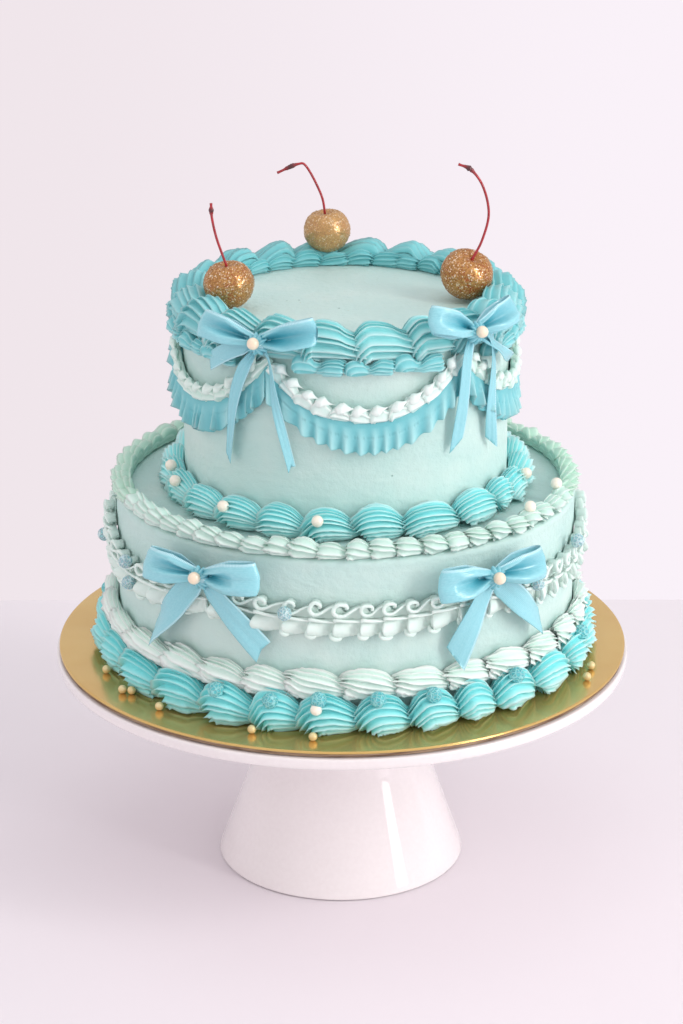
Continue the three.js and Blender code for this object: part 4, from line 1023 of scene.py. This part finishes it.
# The bows differ: each loop is (reach, rise, half opening, tilt in degrees, hollow), each tail its
# course from the knot as (x, y, d), its width, the slant of its cut, its turn and its notch.
LOWER_LOOPS = [[(32.5, 0, 3.8, 74, (3.9, 0.16, 0.26, 0.8)), (31.5, 4, 3.6, 84, (4.6, -0.02, 0.3, 0.66))],
               [(29.5, 0, 4.2, 78, (5.5, -0.12, 0.33, 0.8)), (30, 1, 3.8, 80, (5.2, 0.1, 0.36, 0.95))],
               [(32, 1, 3.8, 76, (5.4, 0.1, 0.34, 0.9)), (31, 3, 3.6, 82, (4.6, 0.0, 0.3, 0.7))],
               [(31, 2, 4.0, 80, (5.0, -0.1, 0.32, 0.75)), (31, 1, 3.8, 76, (5.4, 0.1, 0.34, 0.92))]]
LOWER_TAILS = [
    [([[-1, -3, 2], [-10, -11, 1.5], [-24, -27, 0.4], [-40, -42, -2.6]], 13, -13, 0.5, 0),
     ([[1, -3, 2], [8, -11, 1.5], [17, -21, 0.4], [31, -37, -2.6]], 13, 4, -0.2, 7)],
    [([[-1, -3, 2], [-5, -12, 1.5], [-11, -26, 0.4], [-18, -44, -2.6]], 13, -9, 0.3, 0),
     ([[1, -3, 2], [10, -10, 1.5], [23, -22, 0.4], [41, -37, -2.6]], 13, 8, -0.4, 0)],
    [([[-1, -3, 2], [-9, -12, 1.5], [-20, -26, 0.4], [-35, -41, -2.6]], 13, -11, 0.4, 0),
     ([[1, -3, 2], [7, -11, 1.5], [15, -22, 0.4], [28, -38, -2.6]], 13, 9, -0.2, 0)],
    [([[-1, -3, 2], [-7, -12, 1.5], [-16, -26, 0.4], [-28, -42, -2.6]], 13, -9, 0.2, 6),
     ([[1, -3, 2], [9, -11, 1.5], [21, -23, 0.4], [36, -37, -2.6]], 13, 9, -0.4, 0)],
]
for i, knot in enumerate(LOWER_KNOTS):
    radius = LOWER_RADIUS + 8.2
    forms = [bow_loop(way, reach, rise, half, 15.2, math.radians(tilt), hollow, 1600 + 2 * i + (way > 0))
             for way, (reach, rise, half, tilt, hollow) in zip((-1, 1), LOWER_LOOPS[i])]
    forms += [bow_tail(course, width, slant, 1620 + i, turn, notch)
              for course, width, slant, turn, notch in LOWER_TAILS[i]]
    forms.append(crumpled(5.7, 3.8, 1640 + i))
    bow = mesh_piece(f"lower_ribbon_bow_{i + 1}", [set_on(form, knot, radius) for form, mark in forms], [satin],
                     [mark for form, mark in forms], mapped=True)
    face_out(bow)
    ride_as(bow, "satin", f"lower_bow_{i + 1}")
    pearl = mesh_piece(f"lower_bow_pearl_{i + 1}", [ball(at(knot[0], radius + 8.6, knot[1]), 3.2)], [pearl_coat])
    face_out(pearl)
    ride_as(pearl, "pearl")

UPPER_LOOPS = [[(31, 5, 3.8, 66, (4.6, 0.14, 0.34, 0.9)), (28.5, 8, 3.8, 82, (4.4, -0.06, 0.5, 1.5))],
               [(26.5, 10, 4.4, 72, (4.8, 0.1, 0.34, 0.86)), (26, 6, 3.8, 64, (4.6, 0.14, 0.38, 0.98))],
               [(29, 5, 3.6, 70, (4.4, 0.12, 0.36, 0.95)), (28, 6, 3.6, 80, (4.2, 0.0, 0.3, 0.75))]]
UPPER_TAILS = [
    [([[-2, -5, 2], [-9.8, -17, 1.5], [-18.5, -36.7, -1.5], [-25.3, -67.4, -4.5]], 6.4, -4, 0.3, 0),
     ([[2, -4, 2], [5.5, -11, 2], [7.8, -35, -0.5], [14.5, -66, -4.0]], 4.9, 2, -0.9, 7),
     ([[-4, -2, 0.5], [-16, -7, 1.5], [-36, -18, -2.5]], 9, -3, 0.0, 0)],
    [([[-1, -5, 2], [-3, -15.5, 1.5], [-2.7, -39, -1.5], [-4.5, -62, -4.5]], 7.4, 8, 0.2, 0),
     ([[2, -2, 2], [11, -4, 3], [18, -20, 0.5], [21, -46, -2.5], [25, -67, -4.5]], 6.6, -8, 0.5, 0),
     ([[4, -3, 1], [16, -11, 2.5], [30, -20, 0.5], [44, -26, -3]], 6.2, 3, 0.7, 0)],
    [([[-2, -5, 2], [-7, -18, 1.5], [-12, -36, -1.5], [-20, -60, -4.5]], 6.4, -4, 0.3, 0),
     ([[2, -5, 2], [6, -16, 1.5], [10, -36, -1.5], [16, -62, -4.5]], 6.4, 3, -0.6, 0),
     ([[-4, -2, 0.5], [-14, -6, 1.5], [-30, -16, -2.5]], 8, -3, 0.0, 0)],
]
for i, knot in enumerate(UPPER_KNOTS):
    radius = UPPER_RADIUS + 8.2
    forms = [bow_loop(way, reach, rise, half, 12.8, math.radians(tilt), hollow, 1700 + 2 * i + (way > 0))
             for way, (reach, rise, half, tilt, hollow) in zip((-1, 1), UPPER_LOOPS[i])]
    forms += [bow_tail(course, width, slant, 1720 + i, turn, notch)
              for course, width, slant, turn, notch in UPPER_TAILS[i]]
    forms.append(crumpled(5.3, 3.8, 1750 + i))
    bow = mesh_piece(f"upper_ribbon_bow_{i + 1}", [set_on(form, knot, radius) for form, mark in forms], [satin],
                     [mark for form, mark in forms], mapped=True)
    face_out(bow)
    ride_as(bow, "satin", f"upper_bow_{i + 1}")
    pearl = mesh_piece(f"upper_bow_pearl_{i + 1}", [ball(at(knot[0], radius + 8.4, knot[1]), 3.1)], [pearl_coat])
    face_out(pearl)
    ride_as(pearl, "pearl")

# Cherries: cocktail cherries rolled in edible gold glitter. Flakes about 0.5 mm wide lie at all
# angles on the red-brown fruit, which shows through between them and in the dimple.
CHERRIES = [
    {"angle": -72, "radius": 63.6, "size": 13.2, "lift": 0, "lean": (-0.12, -0.05),
     "stem": [[0, 0, 0], [-4.7, 0, 14.1], [-7, 0, 25.2], [-7.3, 0, 32.7]]},
    {"angle": 187.6, "radius": 76.6, "size": 12.8, "lift": 5.5, "lean": (-0.12, -0.05),
     "stem": [[0, 0, 0], [-2, 0, 10.3], [-9.8, 0, 25.7], [-15, 0, 27.3], [-26, 0, 22.5]]},
    {"angle": 87.8, "radius": 63.6, "size": 13.8, "lift": 0, "lean": (0.27, -0.33),
     "stem": [[0, 0, 0], [4.6, 0, 9.3], [7.9, 0, 23.4], [4.9, 0, 37.4], [-1.3, 0, 46.5], [-8.2, 0, 49.7]]},
]
glitter, shader = new_material("gold_glitter_on_cherry")
place = add(glitter, "ShaderNodeTexCoord").outputs["Object"]
flakes = add(glitter, "ShaderNodeTexVoronoi", {"Vector": place, "Scale": 1700.0})
tint = add(glitter, "ShaderNodeSeparateColor", {0: flakes.outputs[1]})
patches = add(glitter, "ShaderNodeTexNoise", {"Vector": place, "Scale": 130.0, "Detail": 3.0})
bare = add(glitter, "ShaderNodeMath", {0: patches.outputs[0], 1: tint.outputs[0]}, operation="ADD")
cover = add(glitter, "ShaderNodeMapRange", {0: bare.outputs[0], 1: 0.62, 2: 0.72, 3: 0.0, 4: 1.0})
gold = add(glitter, "ShaderNodeValToRGB", {"Fac": tint.outputs[1]})
gold.color_ramp.elements[0].color = linear("#a3703c")
gold.color_ramp.elements[1].color = linear("#fff3de")
middle = gold.color_ramp.elements.new(0.82)
middle.color = linear("#d19b5c")
tone = add(glitter, "ShaderNodeMix", {"Factor": cover.outputs[0], 6: linear("#a1501e"), 7: gold.outputs[0]},
           data_type="RGBA")
# The mark mixes a pale gold into the flakes: most on the cherry at the back, a little on the left one.
pale = add(glitter, "ShaderNodeAttribute", attribute_name="crest")
tone = add(glitter, "ShaderNodeMix", {"Factor": pale.outputs["Fac"], 6: tone.outputs[2], 7: linear("#dcbb86")},
           data_type="RGBA")
metal = add(glitter, "ShaderNodeMath", {0: cover.outputs[0], 1: 0.5}, operation="MULTIPLY")
bumped = add(glitter, "ShaderNodeBump", {"Height": tint.outputs[2], "Strength": 0.8, "Distance": 0.0005})
give(glitter, shader, {"Base Color": tone.outputs[2], "Metallic": metal.outputs[0], "Roughness": 0.3,
                       "Normal": bumped.outputs[0]})

stalk, shader = new_material("red_cherry_stalk")
place = add(stalk, "ShaderNodeTexCoord").outputs["Object"]
streak = add(stalk, "ShaderNodeTexNoise", {"Vector": place, "Scale": 220.0, "Detail": 3.0})
tone = add(stalk, "ShaderNodeMix", {"Factor": streak.outputs[0], 6: linear("#7a161c"), 7: linear("#c02834")},
           data_type="RGBA")
knotted = add(stalk, "ShaderNodeAttribute", attribute_name="crest")
tone = add(stalk, "ShaderNodeMix", {"Factor": knotted.outputs["Fac"], 6: tone.outputs[2], 7: linear("#54262a")},
           data_type="RGBA")
relief = add(stalk, "ShaderNodeBump", {"Height": streak.outputs[0], "Strength": 0.4, "Distance": 0.0005})
give(stalk, shader, {"Base Color": tone.outputs[2], "Roughness": 0.3, "Coat Weight": 0.4,
                     "Subsurface Weight": 0.15, "Subsurface Scale": 0.001, "Normal": relief.outputs[0]})


def fruit(cherry, seed):
    """A cherry: the radius is size times 1 - 0.3 e^(-(a/0.36)^2), where a is the angle from its top, so
    a dimple lies there. It is slightly flattened, leant over, and uneven by 2 % of its size."""
    a = (np.linspace(0.01, 1, 60) ** 0.8 * (np.pi - 0.01))[:, None]
    b = np.linspace(0, 2 * np.pi, 90, endpoint=False)[None, :]
    r = cherry["size"] * (1 - 0.3 * np.exp(-(a / 0.36) ** 2) + 0.02 * wander(seed, 6, 2 * a, 2 * np.sin(b)))
    grit = np.random.default_rng(seed).normal(0, 0.14, (60, 90)) * np.clip(a / 0.4, 0, 1) * np.clip((3 - a) / 0.4, 0, 1)
    r = r + grit
    form = np.stack([r * np.sin(a) * np.cos(b), r * np.sin(a) * np.sin(b), 0.96 * r * np.cos(a) + 0 * b], -1)
    x, y = cherry["lean"]
    up = np.array([x, y, math.sqrt(1 - x * x - y * y)])
    right = np.cross([0, 1.0, 0], up)
    right /= np.linalg.norm(right)
    return form @ np.stack([right, np.cross(up, right), up]), up


for i, cherry in enumerate(CHERRIES):
    form, up = fruit(cherry, 1800 + i)
    middle = at(cherry["angle"], cherry["radius"], UPPER_TOP + 0.4 + cherry["size"] + cherry["lift"])
    piece = mesh_piece(f"glitter_cherry_{i + 1}", [form + middle], [glitter], [(0.05, 0.4, 0.0)[i]])
    face_out(piece)
    ride_as(piece, "gold_glitter", f"cherry_{i + 1}")
    foot = middle + up * (0.67 * cherry["size"] - 1.5)
    top = middle + up * (0.67 * cherry["size"] + 1.2)
    knots = np.concatenate([foot[None], top + np.array(cherry["stem"])])
    line = smooth_line(knots, 90)
    s = np.linspace(0, 1, 90)
    knot = np.exp(-((s - 0.87) / 0.05) ** 2)
    thick = np.interp(s, [0, 0.06, 0.2, 0.8, 0.95, 1], [1.2, 1.1, 0.68, 0.68, 0.62, 0.8])
    thick = thick + knot * (0.6 + 0.9 * np.abs(wander(1900 + i, 7, 34 * s)))
    stem = mesh_piece(f"cherry_stalk_{i + 1}", [roll(line, thick, 12, (0.0, 1.0, 0.0))], [stalk], [knot[:, None]])
    face_out(stem)
    ride_as(stem, "cherry_stem", f"cherry_stem_{i + 1}")

# Loose pearls and sugar beads: cream pearls on the shells, blue lacework beads on the swags, and
# gold dragees where the shells meet the board.
PEARLS = [(-38.6, 100.4, 231.7), (-8.15, 101.3, 231.4), (-64.5, 98.9, 233), (-74.9, 95.8, 235.6),
          (73.5, 99.4, 232), (70.7, 117.1, 230), (51.9, 120, 229.8), (142, 99, 231), (218, 99, 231),
          (-6.2, 139, 145)]
pearls = mesh_piece("loose_cream_pearls", [ball(at(a, r, z), 3.1) for a, r, z in PEARLS],
                    [sugar_pearl("white_sugar_pearl", "#f6ead6", "#fdf6ea")])
face_out(pearls)
ride_as(pearls, "pearl")

# Lace beads: round sugar beads under a net of piped icing with cells some 2 mm wide.
lace, shader = new_material("blue_lace_sugar_bead")
place = add(lace, "ShaderNodeTexCoord").outputs["Object"]
cells = add(lace, "ShaderNodeTexVoronoi", {"Vector": place, "Scale": 520.0}, feature="DISTANCE_TO_EDGE")
web = add(lace, "ShaderNodeMapRange", {0: cells.outputs[0], 1: 0.05, 2: 0.22, 3: 1.0, 4: 0.0})
tone = add(lace, "ShaderNodeMix", {"Factor": web.outputs[0], 6: linear("#98c8cf"), 7: linear("#cde7ea")},
           data_type="RGBA")
relief = add(lace, "ShaderNodeBump", {"Height": web.outputs[0], "Strength": 1.0, "Distance": 0.0005})
give(lace, shader, {"Base Color": tone.outputs[2], "Roughness": 0.45, "Subsurface Weight": 0.1,
                    "Subsurface Scale": 0.002, "Normal": relief.outputs[0]})
TEAL_BEADS = [(-28.8, 137, 148.0), (-16.2, 137, 147.0), (-5.8, 137, 149.5), (6.7, 137, 149.6), (18.9, 136.5, 149.0),
              (40, 135.8, 149.0), (70, 133.5, 148.5), (130, 133, 148.5), (196, 133, 148.5), (262, 133, 148.5)]
teal_lace = lace.copy()
teal_lace.name = "teal_lace_icing_bead"
for node in teal_lace.node_tree.nodes:
    if node.bl_idname == "ShaderNodeMix":
        node.inputs[6].default_value, node.inputs[7].default_value = linear("#5cc2ca"), linear("#97dddf")
rosettes = mesh_piece("teal_lace_beads", [ball(at(a, r, z), 4.2) for a, r, z in TEAL_BEADS], [teal_lace])
face_out(rosettes)
ride_as(rosettes, "teal_icing")
BEADS = [(-13.5, 131.5, 192.7), (48.5, 131, 192.4), (-59.8, 131, 185), (-61.1, 131, 195.8), (68.2, 131, 201.7),
         (141, 131, 192), (217.5, 131, 192), (271.8, 131, 189)]
beads = mesh_piece("blue_lace_beads", [ball(at(a, r, z), 3.7) for a, r, z in BEADS], [lace])
face_out(beads)
ride_as(beads, "pearl")

dragee, shader = new_material("gold_sugar_dragee")
place = add(dragee, "ShaderNodeTexCoord").outputs["Object"]
cloud = add(dragee, "ShaderNodeTexNoise", {"Vector": place, "Scale": 400.0, "Detail": 2.0})
tone = add(dragee, "ShaderNodeMix", {"Factor": cloud.outputs[0], 6: linear("#dcbf7c"), 7: linear("#f6e8bb")},
           data_type="RGBA")
relief = add(dragee, "ShaderNodeBump", {"Height": cloud.outputs[0], "Strength": 0.4, "Distance": 0.0003})
give(dragee, shader, {"Base Color": tone.outputs[2], "Roughness": 0.35, "Metallic": 0.25,
                      "Normal": relief.outputs[0]})
DRAGEES = [(-66, 139.6), (-54.6, 143.5), (-53, 140.3), (-42.6, 142.2), (-19.7, 141.4), (-6.7, 143.0),
           (68.3, 141), (62.3, 144), (125, 142), (175, 142), (235, 142)]
drops = mesh_piece("gold_dragees", [ball(at(a, r - 0.4, 131.9), 2.25) for a, r in DRAGEES], [dragee])
face_out(drops)
ride_as(drops, "pearl")

# Stage: a pale pink-white floor that ends some way behind the cake, a tall window at the front right, soft
# light from the ceiling and the pale walls on both sides, and the camera of the photograph, looking down
# by 20 degrees through a long lens.
FLOOR_BACK = 0.372
floor_paint, shader = new_material("pale_painted_floor")
place = add(floor_paint, "ShaderNodeTexCoord").outputs["Object"]
mottle = add(floor_paint, "ShaderNodeTexNoise", {"Vector": place, "Scale": 3.0, "Detail": 3.0})
tone = add(floor_paint, "ShaderNodeMix", {"Factor": mottle.outputs[0], 6: linear("#e8e2e7"),
                                          7: linear("#efe9ee")}, data_type="RGBA")
give(floor_paint, shader, {"Base Color": tone.outputs[2], "Roughness": 0.6})
mesh = bpy.data.meshes.new("stage_floor")
mesh.from_pydata([(-6, -6, -0.0005), (6, -6, -0.0005), (6, FLOOR_BACK, -0.0005), (-6, FLOOR_BACK, -0.0005)], [],
                 [(0, 1, 2, 3)])
mesh.materials.append(floor_paint)
ground = bpy.data.objects.new("stage_floor", mesh)
bpy.context.scene.collection.objects.link(ground)

world = bpy.data.worlds.new("pale_room")
bpy.context.scene.world = world
world.use_nodes = True
world.node_tree.nodes.clear()
seen = add(world, "ShaderNodeLightPath").outputs["Is Camera Ray"]
way = add(world, "ShaderNodeTexCoord").outputs["Generated"]
# The backdrop the camera sees is painted darker to the left and paler to the right: painted light from the window side.
# The light it sends into the scene is even.
parts = add(world, "ShaderNodeSeparateXYZ", {0: way})
share = add(world, "ShaderNodeMapRange", {0: parts.outputs[0], 1: -0.13, 2: 0.13, 3: 0.0, 4: 1.0},
            interpolation_type="SMOOTHSTEP")
painted_backdrop_light = add(world, "ShaderNodeMix", {"Factor": share.outputs[0], 6: linear("#f0e6eb"), 7: linear("#faf2f9")},
            data_type="RGBA")
shown = add(world, "ShaderNodeBackground", {"Color": painted_backdrop_light.outputs[2], "Strength": 1.0})
felt = add(world, "ShaderNodeBackground", {"Color": linear("#f5f0f3"), "Strength": 0.86})
mixed = add(world, "ShaderNodeMixShader", {0: seen, 1: felt.outputs[0], 2: shown.outputs[0]})
add(world, "ShaderNodeOutputWorld", {"Surface": mixed.outputs[0]})


def soft_light(name, place, aim, size, power, colour):
    """An area light of the given size in metres that faces its aim."""
    data = bpy.data.lights.new(name, "AREA")
    data.shape, data.size, data.size_y = "RECTANGLE", size[0], size[1]
    data.energy, data.color = power, linear(colour)[:3]
    lamp = bpy.data.objects.new(name, data)
    bpy.context.scene.collection.objects.link(lamp)
    lamp.location = place
    way = Vector(aim) - Vector(place)
    lamp.rotation_euler = way.to_track_quat("-Z", "Y").to_euler()
    return lamp


from mathutils import Vector

soft_light("window", (1.7, -1.12, 1.25), (0, 0, 0.2), (0.45, 1.6), 20.5, "#fffdfb")
soft_light("window_foot", (1.7, -1.12, 0.45), (0, 0, 0.2), (0.36, 0.7), 2.6, "#fffdfb")
soft_light("ceiling", (0.1, -0.2, 2.2), (0, 0, 0.2), (2.0, 2.0), 4.0, "#fbfbff")
for name, place, power, colour in (("left_wall", (-1.6, -1.2, 0.65), 6.2, "#fff8f6"),
                                   ("right_wall", (2.0, -0.1, 0.7), 8.3, "#fffefe")):
    # A pale wall sends light back, but leaves no outline in the glaze.
    soft_light(name, place, (0, 0, 0.2), (1.6, 1.6), power, colour).visible_glossy = False

lens = bpy.data.cameras.new("photo_camera")
lens.sensor_fit = "VERTICAL"
lens.sensor_height = 36.0
lens.lens = 2600 / 1024 * 36
camera = bpy.data.objects.new("photo_camera", lens)
camera.location = (0, -1.3268, 0.6807)
camera.rotation_euler = (math.pi / 2 - 0.34752, 0.00093, -0.00013)
bpy.context.scene.collection.objects.link(camera)
bpy.context.scene.camera = camera
bpy.context.scene.view_settings.view_transform = "Standard"
